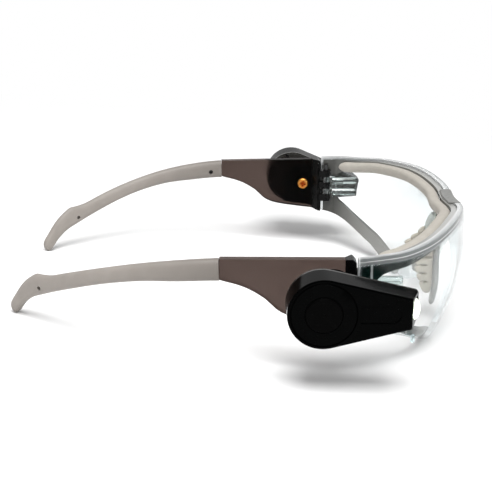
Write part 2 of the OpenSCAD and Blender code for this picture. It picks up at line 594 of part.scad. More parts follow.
// Recess on the nose with a round front end, and the step beside it
recess_depth = 0.4;
recess_half = 2.9;
module nose_recess() {
    outward(pod_depth - recess_depth, pod_depth + cut) {
        translate([cover_radius + 0.9, -recess_half]) square([23.6 - cover_radius - 0.9 - recess_half, 2 * recess_half]);
        translate([23.6 - recess_half, 0]) circle(r = recess_half);
    }
}
groove_low = floor_depth - 1.3;
groove_high = floor_depth - 0.5;
lug_reach = 0.45;
lug_width = 18;
slot_width = 26;
unlock_angle = 35;
module sector(r, a, from) {
    polygon(concat([[0, 0]], [for (i = [0:4]) r * [cos(from + a * i / 4), sin(from + a * i / 4)]]));
}
module ring_part(r1, r2, a, from) {
    intersection() {
        difference() {
            circle(r = r2);
            circle(r = r1);
        }
        sector(r2 * 1.3, a, from);
    }
}
module pod_shell() {
    color([0.04, 0.04, 0.045]) difference() {
        union() {
            outward(back_wall + seat, pod_depth - 0.5) pod_outline();
            outward(pod_depth - 0.5, pod_depth) pod_outline(0.45);
        }
        round_at(cell_bore, 0, pod_depth + cut);
        round_at(cover_radius + 0.1, floor_depth, pod_depth + cut);
        outward(groove_low, groove_high) circle(r = cell_bore + lug_reach + 0.15);
        for (i = [0:2]) outward(groove_high - 0.01, floor_depth + 0.01)
            ring_part(cell_bore - 0.3, cell_bore + lug_reach + 0.15, slot_width, 120 * i + unlock_angle - 4);
        translate([0, lamp_depth, 0]) rotate([0, 90, 0]) cylinder(r = lens_bore, h = 40);
        outward(back_wall, lamp_depth) translate([cavity_start, -lens_bore]) square([nose_length - 6 - cavity_start, 2 * lens_bore]);
        nose_recess();
        ahead_of_face();
        for (p = screw_places) translate([p[0], 0, p[1]]) rotate([-90, 0, 0]) cylinder(r = 0.5, h = back_wall + 4);
    }
}
screw_radius = pod_radius - 1.5;
screw_places = [[screw_radius * cos(115), screw_radius * sin(115)], [screw_radius * cos(245), screw_radius * sin(245)]];
hub_radius = 6.4;
hub_length = 3.4;
module pod_back() {
    color([0.05, 0.05, 0.055]) difference() {
        union() {
            outward(0, 0.6) pod_outline(0.6);
            outward(0.6, back_wall) pod_outline();
            translate([pivot_x, 0, pivot_z]) rotate([90, 0, 0]) cylinder(r = hub_radius, h = hub_length);
        }
        ahead_of_face(0.3);
        translate([pivot_x, 0, pivot_z]) rotate([90, 0, 0]) cylinder(r = shaft_radius, h = 40, center = true);
        translate([0, back_wall - 0.4, 0]) rotate([-90, 0, 0]) cylinder(r = cell_bore - 1, h = 1);
        for (p = screw_places) translate([p[0], -cut, p[1]]) rotate([-90, 0, 0]) {
            cylinder(r = 0.6, h = back_wall + 1);
            cylinder(r = 1.05, h = cut + 0.8);
        }
    }
}
module pod_screws() {
    color("dimgray") for (p = screw_places) translate([p[0], 0, p[1]]) rotate([-90, 0, 0]) difference() {
        union() {
            translate([0, 0, 0.1]) cylinder(r = 1, h = 0.65);
            translate([0, 0, 0.7]) cylinder(r = 0.47, h = 3.7);
        }
        for (a = [0, 90]) rotate([0, 0, a]) translate([-0.7, -0.14, 0]) cube([1.4, 0.28, 0.45]);
    }
}
// Screw from the inner face of the temple into the hub
head_radius = 2.3;
head_height = 1.1;
inner_face = side_face - temple_wall - (temple_front - pod_x - pivot_x) * tan(temple_toe) - pod_back_y;
module pivot_screw() {
    color([0.83, 0.6, 0.25]) translate([pivot_x, inner_face - 0.15, pivot_z]) rotate([-90, 0, 0]) difference() {
        union() {
            translate([0, 0, -head_height]) cylinder(r1 = head_radius - 0.4, r2 = head_radius, h = 0.5);
            translate([0, 0, 0.5 - head_height]) cylinder(r = head_radius, h = head_height - 0.5);
            translate([0, 0, -0.01]) cylinder(r = shaft_radius - running, h = 0.8 - inner_face);
        }
        for (a = [0, 90]) rotate([0, 0, a]) translate([-1.3, -0.28, -head_height - 0.01]) cube([2.6, 0.56, 0.75]);
    }
}
washer_wall = 0.5;
module friction_washer() {
    color("silver") translate([pivot_x, -hub_length - 0.08, pivot_z]) rotate([90, 0, 0]) difference() {
        cylinder(r = hub_radius - 0.6, h = washer_wall);
        translate([0, 0, -cut]) cylinder(r = shaft_radius + 0.1, h = washer_wall + 2 * cut);
    }
}
// Boss on the temple, cut to sit flat on the toed-in plate
base_radius = 7;
base_front = -hub_length - washer_wall - 0.16;
module pod_base() {
    color([0.06, 0.06, 0.06]) difference() {
        translate([pod_x + pivot_x, pod_back_y + base_front, pod_z + pivot_z]) rotate([90, 0, 0]) {
            cylinder(r = base_radius, h = 3.8);
            translate([0, 0, 1.5]) cylinder(r = base_radius + 0.8, h = 2.3);
        }
        along_temple() inward(-0.02, 12) translate([-20, -20]) square([80, 60]);
        pivot_bore(shaft_radius + 0.02);
    }
}
// Inside the pod, from the back wall outward
spring_depth = back_wall - 0.35;
cell_depth = back_wall + 0.5;
board_depth = cell_depth + 2 * cell_thickness + 0.05;
board_wall = 0.6;
dome_height = 0.3;
module cell_spring() {
    color("silver") {
        outward(spring_depth, spring_depth + 0.2) ring_part(2.4, 6.4, 300, 30);
        for (a = [40, 120, 200, 280]) outward(spring_depth + 0.15, cell_depth - 0.03) ring_part(4.6, 6.2, 30, a);
    }
}
module coin_cells() {
    color([0.78, 0.78, 0.8]) for (i = [0, 1]) {
        a = cell_depth + i * (cell_thickness + 0.01);
        round_at(cell_diameter / 2, a + 0.5, a + cell_thickness - 0.01);
        round_at(cell_diameter / 2 - 1, a, a + 0.6);
    }
}
module contact_board() {
    color([0.1, 0.35, 0.2]) round_at(6.9, board_depth, board_depth + board_wall);
}
module switch_dome() {
    color("silver") {
        round_at(2.6, board_depth + board_wall, board_depth + board_wall + 0.15);
        round_at(1.8, board_depth + board_wall + 0.1, board_depth + board_wall + dome_height);
    }
}
module led_board() {
    color([0.1, 0.35, 0.2]) translate([19.4, lamp_depth, 0]) rotate([0, 90, 0]) cylinder(r = lens_bore - 0.1, h = 1);
}
module led() {
    color([0.95, 0.9, 0.6]) translate([20.45, lamp_depth, 0]) {
        translate([0, -1.7, -1.7]) cube([0.8, 3.4, 3.4]);
        translate([0.7, 0, 0]) rotate([0, 90, 0]) cylinder(r = 1.3, h = 0.9);
    }
}
module reflector() {
    color([0.85, 0.85, 0.86]) translate([21.5, lamp_depth, 0]) rotate([0, 90, 0]) rotate_extrude()
        polygon([[1.45, 0], [2.6, 0], [lens_bore - 0.1, 2.6], [lens_bore - 0.1, 5.2], [lens_bore - 0.4, 5.2], [2.4, 2.4]]);
}
lamp_lens_start = 26.8;
module led_lens() {
    dome_r = 4.6;
    color([0.95, 0.97, 0.98, 0.8]) translate([lamp_lens_start, lamp_depth, 0]) rotate([0, 90, 0]) {
        cylinder(r = lens_bore - 0.1, h = 1.4);
        translate([0, 0, 1.4]) intersection() {
            translate([0, 0, -sqrt(pow(dome_r, 2) - pow(lens_bore - 0.1, 2))]) sphere(r = dome_r);
            cylinder(r = lens_bore - 0.1, h = dome_r);
        }
    }
}
seal_radius = 0.22;
cover_low = floor_depth + 0.5;
module cover_seal() {
    color([0.15, 0.15, 0.15]) translate([0, floor_depth + 0.25, 0]) rotate([90, 0, 0]) rotate_extrude()
        translate([cover_radius - 0.6, 0]) circle(r = seal_radius);
}
skirt_outer = cell_bore - 0.12;
skirt_inner = 7.2;
button_hole = button_radius + 0.15;
flange_radius = 6.5;
flange_top = cover_low + 0.25;
module battery_cover() {
    color([0.05, 0.05, 0.05]) difference() {
        union() {
            round_at(cover_radius, cover_low, pod_depth - 0.3);
            round_at(cover_radius - 0.3, pod_depth - 0.31, pod_depth);
            round_at(skirt_outer, groove_low + 0.1, cover_low + 0.01);
            for (i = [0:2]) outward(groove_low + 0.1, groove_high - 0.1)
                ring_part(skirt_outer - 0.2, cell_bore + lug_reach, lug_width, 120 * i);
        }
        round_at(button_hole, 0, pod_depth + cut);
        round_at(skirt_inner, 0, cover_low);
        round_at(flange_radius + 0.15, 0, flange_top + 0.05);
    }
}
button_low = flange_top - 0.55;
module push_button() {
    color([0.06, 0.06, 0.06]) {
        round_at(flange_radius, button_low, flange_top);
        round_at(button_radius, flange_top - 0.01, pod_depth + 0.1);
        round_at(button_radius - 0.4, pod_depth + 0.09, pod_depth + 0.35);
        round_at(0.45, pod_depth + 0.34, pod_depth + 0.55);
    }
}

// Stance on the table: the tilt that puts tips and lens lobes on one level

low_guess = 4.5;
function tilted_z(p, t) = p[2] * cos(t) + p[0] * sin(t);
function lowest(points, t) = let (m = min([for (p = points) tilted_z(p, t)])) [for (p = points) if (tilted_z(p, t) <= m) p][0];
sleeve_cloud = [for (r = sleeve_rings) each r];
lens_cloud = concat([for (r = lens_grid(0)) r[0]], [for (r = lens_grid(-lens_wall)) r[0]]);
tip_low = lowest(sleeve_cloud, low_guess);
lobe_low = lowest(lens_cloud, low_guess);
floor_tilt = atan2(tip_low[2] - lobe_low[2], lobe_low[0] - tip_low[0]);
floor_z = tilted_z(lobe_low, floor_tilt);
function tilted_x(p) = p[0] * cos(floor_tilt) - p[2] * sin(floor_tilt);
front_cloud = [for (r = lens_grid(0)) each r];
shift_x = -(max([for (p = front_cloud) tilted_x(p)]) + min([for (p = sleeve_cloud) tilted_x(p)])) / 2;
module stand() {
    translate([shift_x, 0, -floor_z]) rotate([0, -floor_tilt, 0]) children();
}
module right() {
    stand() mirror([0, 1, 0]) children();
}
module left() {
    stand() children();
}
module right_pod() {
    right() pod_place(0) children();
}
module left_pod() {
    left() pod_place(left_pod_tilt) children();
}

stand() lens();
stand() brow_frame();
stand() brow_pad();
stand() bridge_cover();
stand() nose_bridge();
right() nose_pad();  // right_nose_pad
left() nose_pad();  // left_nose_pad
right() hinge_lug();  // right_hinge_lug
left() hinge_lug();  // left_hinge_lug
right() hinge_pin();  // right_hinge_pin
left() hinge_pin();  // left_hinge_pin
right() temple_arm();  // right_temple_arm
left() temple_arm();  // left_temple_arm
right() temple_sleeve();  // right_temple_sleeve
left() temple_sleeve();  // left_temple_sleeve
right() hinge_block();  // right_hinge_block
left() hinge_block();  // left_hinge_block
right() pod_base();  // right_pod_base
left() pod_base();  // left_pod_base
right_pod() pod_shell();  // right_pod_shell
left_pod() pod_shell();  // left_pod_shell
right_pod() pod_back();  // right_pod_back
left_pod() pod_back();  // left_pod_back
right_pod() pivot_screw();  // right_pivot_screw
left_pod() pivot_screw();  // left_pivot_screw
right_pod() friction_washer();  // right_friction_washer
left_pod() friction_washer();  // left_friction_washer
right_pod() pod_screws();  // right_pod_screws
left_pod() pod_screws();  // left_pod_screws
right_pod() coin_cells();  // right_coin_cells
left_pod() coin_cells();  // left_coin_cells
right_pod() cell_spring();  // right_cell_spring
left_pod() cell_spring();  // left_cell_spring
right_pod() contact_board();  // right_contact_board
left_pod() contact_board();  // left_contact_board
right_pod() switch_dome();  // right_switch_dome
left_pod() switch_dome();  // left_switch_dome
right_pod() led_board();  // right_led_board
left_pod() led_board();  // left_led_board
right_pod() led();  // right_led
left_pod() led();  // left_led
right_pod() reflector();  // right_reflector
left_pod() reflector();  // left_reflector
right_pod() led_lens();  // right_led_lens
left_pod() led_lens();  // left_led_lens
right_pod() cover_seal();  // right_cover_seal
left_pod() cover_seal();  // left_cover_seal
right_pod() battery_cover();  // right_battery_cover
left_pod() battery_cover();  // left_battery_cover
right_pod() push_button();  // right_push_button
left_pod() push_button();  // left_push_button
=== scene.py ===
"""Looks of the wrap-around safety glasses with a lamp pod on each temple.

Shapes are worked out in millimetres in the glasses' own axes, x forward, y to the
wearer's left and z up along the hinge pins, and then set down on the table.
"""
import json
import math

import bmesh
import bpy
import numpy as np
from mathutils import Matrix, Vector


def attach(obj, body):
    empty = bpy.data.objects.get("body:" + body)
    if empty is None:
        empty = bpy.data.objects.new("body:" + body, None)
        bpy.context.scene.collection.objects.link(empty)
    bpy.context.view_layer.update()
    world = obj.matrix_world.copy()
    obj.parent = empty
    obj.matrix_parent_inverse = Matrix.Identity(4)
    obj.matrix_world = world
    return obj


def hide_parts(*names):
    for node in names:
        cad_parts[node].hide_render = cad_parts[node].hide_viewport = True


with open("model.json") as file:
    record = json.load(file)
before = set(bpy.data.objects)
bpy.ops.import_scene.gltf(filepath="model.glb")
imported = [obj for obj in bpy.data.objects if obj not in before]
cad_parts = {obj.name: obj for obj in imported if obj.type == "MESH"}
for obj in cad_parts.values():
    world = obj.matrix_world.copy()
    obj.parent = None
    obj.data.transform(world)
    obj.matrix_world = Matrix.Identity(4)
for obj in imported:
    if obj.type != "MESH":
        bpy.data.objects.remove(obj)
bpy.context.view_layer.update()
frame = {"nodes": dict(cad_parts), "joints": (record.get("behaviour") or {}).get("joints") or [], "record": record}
nodes = frame["nodes"]
joints = {j["name"]: j for j in frame["joints"]}
SIDES = (("right", -1), ("left", 1))

# Stance on the table, read from the left hinge

HINGE = np.array([36.3, 65.7269, 0.0])
pin = np.array(joints["left_temple_fold"]["axis"], float)
TURN = np.array([[pin[2], 0, pin[0]], [0, 1, 0], [-pin[0], 0, pin[2]]])
SHIFT = 1000 * np.array(joints["left_temple_fold"]["pos_m"], float) - TURN @ HINGE


def on_table(points):
    """Points in glasses millimetres turned and moved onto the table, in metres."""
    return (np.asarray(points, float) @ TURN.T + SHIFT) / 1000


def smooth(points, x):
    """Piecewise cubic through [x, value] pairs; each inner slope is that of the chord
    between a point's two neighbours, and each end slope is that of its own chord."""
    p = np.asarray(points, float)
    x = np.asarray(x, float)
    slope = np.empty(len(p))
    slope[1:-1] = (p[2:, 1] - p[:-2, 1]) / (p[2:, 0] - p[:-2, 0])
    slope[0] = (p[1, 1] - p[0, 1]) / (p[1, 0] - p[0, 0])
    slope[-1] = (p[-1, 1] - p[-2, 1]) / (p[-1, 0] - p[-2, 0])
    i = np.clip(np.searchsorted(p[:, 0], x, side="right") - 1, 0, len(p) - 2)
    w = p[i + 1, 0] - p[i, 0]
    t = np.clip((x - p[i, 0]) / w, 0, 1)
    return (p[i, 1] * (1 + 2 * t) * (1 - t) ** 2 + p[i + 1, 1] * t * t * (3 - 2 * t)
            + w * (slope[i] * t * (1 - t) ** 2 - slope[i + 1] * t * t * (1 - t)))


def fade(value, start, end):
    """Share that runs evenly from 0 at start to 1 at end, and is held beyond them."""
    return np.clip((value - start) / (end - start), 0, 1)


def quarter_circle(t):
    """sqrt(1 - t^2): 1 up to t = 0, falling to 0 at t = 1."""
    return np.sqrt(1 - np.clip(t, 0, 1) ** 2)


# Lens surface: same radii and edge curves as the solid. A curve holds pairs of a place
# along the edge, as place() gives it, and millimetres

LENS_FRONT = 81.4
LENS_RADIUS = 97.4
LENS_MIDDLE = LENS_FRONT - LENS_RADIUS
LENS_UPRIGHT_RADIUS = 62.0
LENS_WALL = 2.2
WRAP = 35.5
SIDE = 87.0
CORNER_RADIUS = 34.0
BULGE_HEIGHT = 8.5
HOLLOW_DEPTH = 2.0
HOLLOW_WIDTH = 11.0
LENS_REAR = 34.4
BROW = 17.9
ARCH = 3.0
LOBE = 23.7
SIDE_LOW = -5.3
NOTCH_DEPTH = 0.9
NOTCH_ANGLE = 6.2
SHARE = [(0, 1), (30, 1.05), (58, 1.5), (76, 0.9), (87, 0.4)]
RIM = [(0, 1.5), (10, 1.7), (20, 2.5), (29, 3.4), (39, 3.7), (58, 2.6), (66, 1.8), (74, 1.05), (82, 0.9),
       (90, 0.45)]
ARCH_CURVE = [(0, 0), (5, 0.04), (10, 0.25), (15, 0.55), (20, 0.8), (25, 0.935), (29, 0.985), (33, 1)]
LOBE_CURVE = [(33, 1), (39, 0.955), (49, 0.8), (58, 0.615), (63, 0.52), (70, 0.37), (77, 0.22), (84, 0.085),
              (90, 0)]
BAR_CURVE = [(0, 4), (21, 3.4), (42, 3.5), (64, 4), (72, 4.6), (78, 5), (85, 6.8), (90, 7)]
ARM_CURVE = [(29, 2.4), (47, 3.8), (64, 4.1), (74, 4.8), (80, 6.4), (84, 7.8), (90, 8.4)]
FRAME_DROP = 0.9
FRAME_LIFT = 0.5
FRAME_GAP = 0.16
FRAME_WALL = 2.2
FRAME_WALL_REAR = 1.4
wrap_turn = math.radians(WRAP)
side_turn = math.radians(SIDE)
corner_middle = ((LENS_RADIUS - CORNER_RADIUS) * np.array([math.cos(wrap_turn), math.sin(wrap_turn)])
                 + [LENS_MIDDLE, 0])
side_x = corner_middle[0] + CORNER_RADIUS * math.cos(side_turn)


def arc_length(a):
    """Length of the plan from the middle to normal angle a: R a, then r a past the wrap."""
    return (np.minimum(a, WRAP) * LENS_RADIUS + np.maximum(a - WRAP, 0) * CORNER_RADIUS) * math.pi / 180


def place(u):
    """Place along the edge, 0 in the middle and 90 at the rear, for u as plan() takes it."""
    back = (side_x - LENS_REAR) / math.sin(side_turn)
    length = arc_length(np.minimum(u, SIDE)) + np.clip((u - SIDE) / (90 - SIDE), 0, None) * back
    return 90 * length / (arc_length(SIDE) + back)


def rim_height(u):
    """Height of the brow line: the brow height plus the rim curve."""
    return BROW + smooth(RIM, place(u))


def low_height(u):
    """Height of the lens's lower edge: arch to lobe up to place 33, then lobe to side."""
    e = place(u)
    inner = ARCH + (-LOBE - ARCH) * smooth(ARCH_CURVE, np.minimum(e, 33))
    outer = SIDE_LOW + (-LOBE - SIDE_LOW) * smooth(LOBE_CURVE, np.maximum(e, 33))
    return np.where(e < 33, inner, outer)


def plan(u):
    """Half plan of the lens. For u up to 87 it is the normal angle in degrees: a wide
    front arc, then a corner arc; from 87 to 90 it runs straight back to LENS_REAR. A
    hollow of depth d exp(-(y/w)^2) is taken off in the middle. Gives x, y, the normal
    angle in radians and the share of the upright bulge."""
    a = np.minimum(u, SIDE)
    r = np.radians(a)
    front = a <= WRAP
    x = np.where(front, LENS_MIDDLE + LENS_RADIUS * np.cos(r), corner_middle[0] + CORNER_RADIUS * np.cos(r))
    y = np.where(front, LENS_RADIUS * np.sin(r), corner_middle[1] + CORNER_RADIUS * np.sin(r))
    back = np.clip((u - SIDE) / (90 - SIDE), 0, None) * (side_x - LENS_REAR)
    x = x - HOLLOW_DEPTH * np.exp(-(y / HOLLOW_WIDTH) ** 2)
    return x - back, y + back / math.tan(side_turn), r, smooth(SHARE, a)


def shell_points(u, z, off):
    """Points on the lens surface moved out by off along the plan normal. The upright arc
    takes them in by R - sqrt(R^2 - (z - z0)^2), times the bulge share. u below 0 is the
    right half."""
    x, y, r, share = plan(np.abs(u))
    bulge = LENS_UPRIGHT_RADIUS - np.sqrt(LENS_UPRIGHT_RADIUS ** 2 - (z - BULGE_HEIGHT) ** 2)
    d = off - share * bulge
    return np.stack([x + d * np.cos(r), np.sign(u + 1e-9) * (y + d * np.sin(r)), z + 0 * u], -1)


# Mesh making


def closed_mesh(name, points, faces):
    """Points in metres and faces as a closed mesh whose faces point outwards."""
    mesh = bpy.data.meshes.new(name)
    mesh.from_pydata(np.asarray(points).tolist(), [], faces)
    bm = bmesh.new()
    bm.from_mesh(mesh)
    bmesh.ops.remove_doubles(bm, verts=bm.verts, dist=3e-6)
    bmesh.ops.recalc_face_normals(bm, faces=bm.faces)
    bm.to_mesh(mesh)
    bm.free()
    return mesh


def finish_mesh(name, points, faces, body, look, slot, replaced=(), **edges):
    """Puts points in metres and faces into a piece that rides on a body."""
    return piece(name, closed_mesh(name, points, faces), body, look, slot, replaced, **edges)


def drilled(mesh, rods):
    """The mesh with the rods, each a pair of points and faces, taken out of it."""
    blank = bpy.data.objects.new("blank", mesh)
    bpy.context.scene.collection.objects.link(blank)
    drills = []
    for points, faces in rods:
        drill = bpy.data.objects.new("drill", closed_mesh("drill", points, faces))
        bpy.context.scene.collection.objects.link(drill)
        cut = blank.modifiers.new("hole", "BOOLEAN")
        cut.object = drill
        cut.solver = "EXACT"
        drills.append(drill)
    bpy.context.view_layer.update()
    result = bpy.data.meshes.new_from_object(blank.evaluated_get(bpy.context.evaluated_depsgraph_get()))
    for obj in drills + [blank]:
        bpy.data.objects.remove(obj)
    return result


def piece(name, mesh, body, look, slot, replaced=(), bevel=0, segments=2, angle=35, smooth_angle=35):
    """An object with smooth faces, edges rounded by bevel millimetres where they are sharper
    than angle, and a finish. It rides on a body and stands for the replaced solids."""
    mesh.shade_smooth()
    mesh.set_sharp_from_angle(angle=math.radians(smooth_angle))
    obj = bpy.data.objects.new(name, mesh)
    bpy.context.scene.collection.objects.link(obj)
    if bevel:
        m = obj.modifiers.new("edges", "BEVEL")
        m.width = bevel / 1000
        m.segments = segments
        m.limit_method = "ANGLE"
        m.angle_limit = math.radians(angle)
        m.harden_normals = True
        m.use_clamp_overlap = True
    mesh.materials.append(look)
    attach(obj, body)
    if replaced:
        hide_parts(*replaced)
    return obj


def mark(obj, name, value):
    """A number on each point of a piece, worked out from its place in glasses millimetres."""
    mesh = obj.data
    at = np.empty(len(mesh.vertices) * 3)
    mesh.vertices.foreach_get("co", at)
    at = (at.reshape(-1, 3) * 1000 - SHIFT) @ TURN
    mesh.attributes.new(name, "FLOAT", "POINT").data.foreach_set("value", value(at).astype(np.float32))


def grid_faces(n, m, closed=False):
    """Quads of an n by m grid of points, with the second direction closed if asked."""
    i, j = np.meshgrid(np.arange(n - 1), np.arange(m if closed else m - 1), indexing="ij")
    k = (j + 1) % m
    quads = np.stack([i * m + j, i * m + k, (i + 1) * m + k, (i + 1) * m + j], -1)
    return quads.reshape(-1, 4).tolist()


def walled(outer, inner, keep):
    """Closed wall between two n by m grids of points. keep says which cells are there;
    each edge between a kept and a missing cell gets a side face."""
    n, m = outer.shape[:2]
    size = n * m
    around = np.zeros((n + 1, m + 1), bool)
    around[1:n, 1:m] = keep
    i, j = np.nonzero(keep)
    c = np.stack([i * m + j, i * m + j + 1, (i + 1) * m + j + 1, (i + 1) * m + j], -1)
    faces = c.tolist() + (c[:, ::-1] + size).tolist()
    for di, dj, a, b in ((0, -1, 0, 3), (0, 1, 2, 1), (-1, 0, 1, 0), (1, 0, 3, 2)):
        edge = c[~around[i + 1 + di, j + 1 + dj]]
        faces += np.stack([edge[:, b], edge[:, a], edge[:, a] + size, edge[:, b] + size], -1).tolist()
    return np.concatenate([outer.reshape(-1, 3), inner.reshape(-1, 3)]), faces


def swept(rings):
    """Closed tube through n rings of m points, with a flat cap at each end."""
    n, m = rings.shape[:2]
    faces = grid_faces(n, m, closed=True)
    faces.append(list(range(m))[::-1])
    faces.append([(n - 1) * m + k for k in range(m)])
    return rings.reshape(-1, 3), faces


def oval(a, b, count, power):
    """Superellipse |x/a|^p + |y/b|^p = 1 at even angles."""
    t = 2 * math.pi * (np.arange(count) + 0.5) / count
    c, s = np.cos(t), np.sin(t)
    x = a * np.sign(c) * np.abs(c) ** (2 / power)
    y = b * np.sign(s) * np.abs(s) ** (2 / power)
    return np.stack([x, y], -1)


# Finishes


def finish(name, colour, second, patch, rough, rough_patch, grain=None, depth=0,
           stretch=(1, 1, 1), **sockets):
    """A principled finish. Two noises on object coordinates, with patch and rough_patch
    features to the metre, mix the two colours and the two roughnesses. A third, with grain
    features to the metre, raises the surface by depth."""
    mat = bpy.data.materials.new(name)
    mat.use_nodes = True
    tree = mat.node_tree
    shader = tree.nodes["Principled BSDF"]
    shader.inputs["Base Color"].default_value = (*colour, 1)
    coords = tree.nodes.new("ShaderNodeTexCoord").outputs["Object"]
    if stretch != (1, 1, 1):
        turn = tree.nodes.new("ShaderNodeMapping")
        turn.inputs["Scale"].default_value = stretch
        tree.links.new(coords, turn.inputs["Vector"])
        coords = turn.outputs["Vector"]

    def noise(scale, detail=4.0):
        """Noise with so many features to the metre."""
        n = tree.nodes.new("ShaderNodeTexNoise")
        n.inputs["Scale"].default_value = scale
        n.inputs["Detail"].default_value = detail
        tree.links.new(coords, n.inputs["Vector"])
        return n.outputs["Fac"]

    def spread(value, low, high, to=(0.0, 1.0)):
        """The value stretched from low..high to the range asked for."""
        n = tree.nodes.new("ShaderNodeMapRange")
        for socket, number in (("From Min", low), ("From Max", high), ("To Min", to[0]), ("To Max", to[1])):
            n.inputs[socket].default_value = number
        tree.links.new(value, n.inputs["Value"])
        return n.outputs["Result"]

    mix = tree.nodes.new("ShaderNodeMix")
    mix.data_type = "RGBA"
    mix.inputs["A"].default_value = (*colour, 1)
    mix.inputs["B"].default_value = (*second, 1)
    tree.links.new(spread(noise(patch), 0.35, 0.65), mix.inputs["Factor"])
    tree.links.new(mix.outputs["Result"], shader.inputs["Base Color"])
    tree.links.new(spread(noise(rough_patch), 0.3, 0.7, rough), shader.inputs["Roughness"])
    if grain:
        bump = tree.nodes.new("ShaderNodeBump")
        bump.inputs["Distance"].default_value = depth
        tree.links.new(noise(grain, 6.0), bump.inputs["Height"])
        tree.links.new(bump.outputs["Normal"], shader.inputs["Normal"])
    for socket, value in sockets.items():
        shader.inputs[socket.replace("_", " ")].default_value = value
    return mat


def amount_of(mat, attribute):
    """The number that a piece keeps on its points, as an output for a finish."""
    node = mat.node_tree.nodes.new("ShaderNodeAttribute")
    node.attribute_name = attribute
    return node.outputs["Fac"]


def tint(mat, attribute, colour):
    """Mixes the colour of a finish towards another one by a number kept on the points."""
    tree = mat.node_tree
    socket = tree.nodes["Principled BSDF"].inputs["Base Color"]
    mix = tree.nodes.new("ShaderNodeMix")
    mix.data_type = "RGBA"
    mix.inputs["B"].default_value = (*colour, 1)
    tree.links.new(amount_of(mat, attribute), mix.inputs["Factor"])
    tree.links.new(socket.links[0].from_socket, mix.inputs["A"])
    tree.links.new(mix.outputs["Result"], socket)


def vary(mat, attribute, socket, low, high):
    """Mixes another socket of a finish from low to high by a number kept on the points."""
    tree = mat.node_tree
    mix = tree.nodes.new("ShaderNodeMix")
    mix.inputs["A"].default_value = low
    mix.inputs["B"].default_value = high
    tree.links.new(amount_of(mat, attribute), mix.inputs["Factor"])
    tree.links.new(mix.outputs["Result"], tree.nodes["Principled BSDF"].inputs[socket])


clear_lens = finish("clear_lens", (0.77, 0.915, 0.945), (0.74, 0.90, 0.935), 60, (0.01, 0.03), 80,
                    Transmission_Weight=1.0, IOR=1.45)
vary(clear_lens, "cover", "Alpha", 0.0, 1.0)
vary(clear_lens, "rim", "Transmission Weight", 1.0, 0.35)
tint(clear_lens, "rim", (0.22, 0.235, 0.235))
tint(clear_lens, "inside", (0.70, 0.71, 0.71))
# Painted highlights: near-white fine lines below the rim and at the lens's rear ends.
tint(clear_lens, "line", (0.95, 0.96, 0.97))
clear_gate = finish("clear_gate", (0.80, 0.93, 0.955), (0.77, 0.915, 0.945), 60, (0.01, 0.03), 80,
                    Transmission_Weight=1.0, IOR=1.45)
smoke_frame = finish("smoke_frame", (0.052, 0.052, 0.047), (0.062, 0.062, 0.056), 120, (0.16, 0.26), 300,
                     900, 0.00001, Transmission_Weight=0.1, IOR=1.45)
tint(smoke_frame, "front", (0.34, 0.34, 0.325))
# Painted shade: near-black teal on the frame's outer face, deepest towards its rear.
tint(smoke_frame, "outer", (0.004, 0.016, 0.013))
# Painted highlight: a pale upright line on the frame's outer face.
tint(smoke_frame, "highlight_stripe", (0.55, 0.57, 0.57))
beige_foam = finish("beige_foam", (0.365, 0.34, 0.30), (0.395, 0.37, 0.33), 400, (0.6, 0.75), 900,
                    3500, 0.00004)
clip_grey = finish("clip_grey", (0.15, 0.15, 0.142), (0.18, 0.18, 0.172), 500, (0.35, 0.5), 900,
                   4000, 0.00001)
band_grey = finish("band_grey", (0.28, 0.28, 0.265), (0.32, 0.32, 0.30), 400, (0.3, 0.42), 900,
                   2500, 0.00001, Transmission_Weight=0.2)
tint(band_grey, "pale", (0.74, 0.78, 0.74))
vary(band_grey, "pale", "Transmission Weight", 0.2, 0.75)
nose_gel = finish("nose_gel", (0.43, 0.40, 0.34), (0.47, 0.44, 0.375), 500, (0.35, 0.5), 900, 3000, 0.00002)
# Painted shade: darker in the slots of the nose pads.
tint(nose_gel, "slot", (0.24, 0.215, 0.165))
clear_lug = finish("clear_lug", (0.82, 0.88, 0.87), (0.78, 0.84, 0.83), 300, (0.03, 0.08), 600,
                   Transmission_Weight=1.0, IOR=1.45)
lug_rib = finish("lug_rib", (0.78, 0.84, 0.83), (0.74, 0.80, 0.79), 300, (0.02, 0.05), 600,
                 Transmission_Weight=1.0, IOR=1.5)
# Painted highlight: an opaque pale band along each lug rib.
vary(lug_rib, "line", "Transmission Weight", 1.0, 0.0)
tint(lug_rib, "line", (0.85, 0.88, 0.88))
smoke_temple = finish("smoke_temple", (0.075, 0.053, 0.046), (0.087, 0.062, 0.054), 70, (0.3, 0.36), 400,
                      Transmission_Weight=1.0, IOR=1.12, Specular_IOR_Level=0.05)
sleeve_grey = finish("sleeve_grey", (0.26, 0.235, 0.212), (0.285, 0.258, 0.233), 160, (0.5, 0.62), 700,
                     2600, 0.00003)
# Painted shade: darker towards the front of each sleeve.
tint(sleeve_grey, "front", (0.170, 0.152, 0.135))
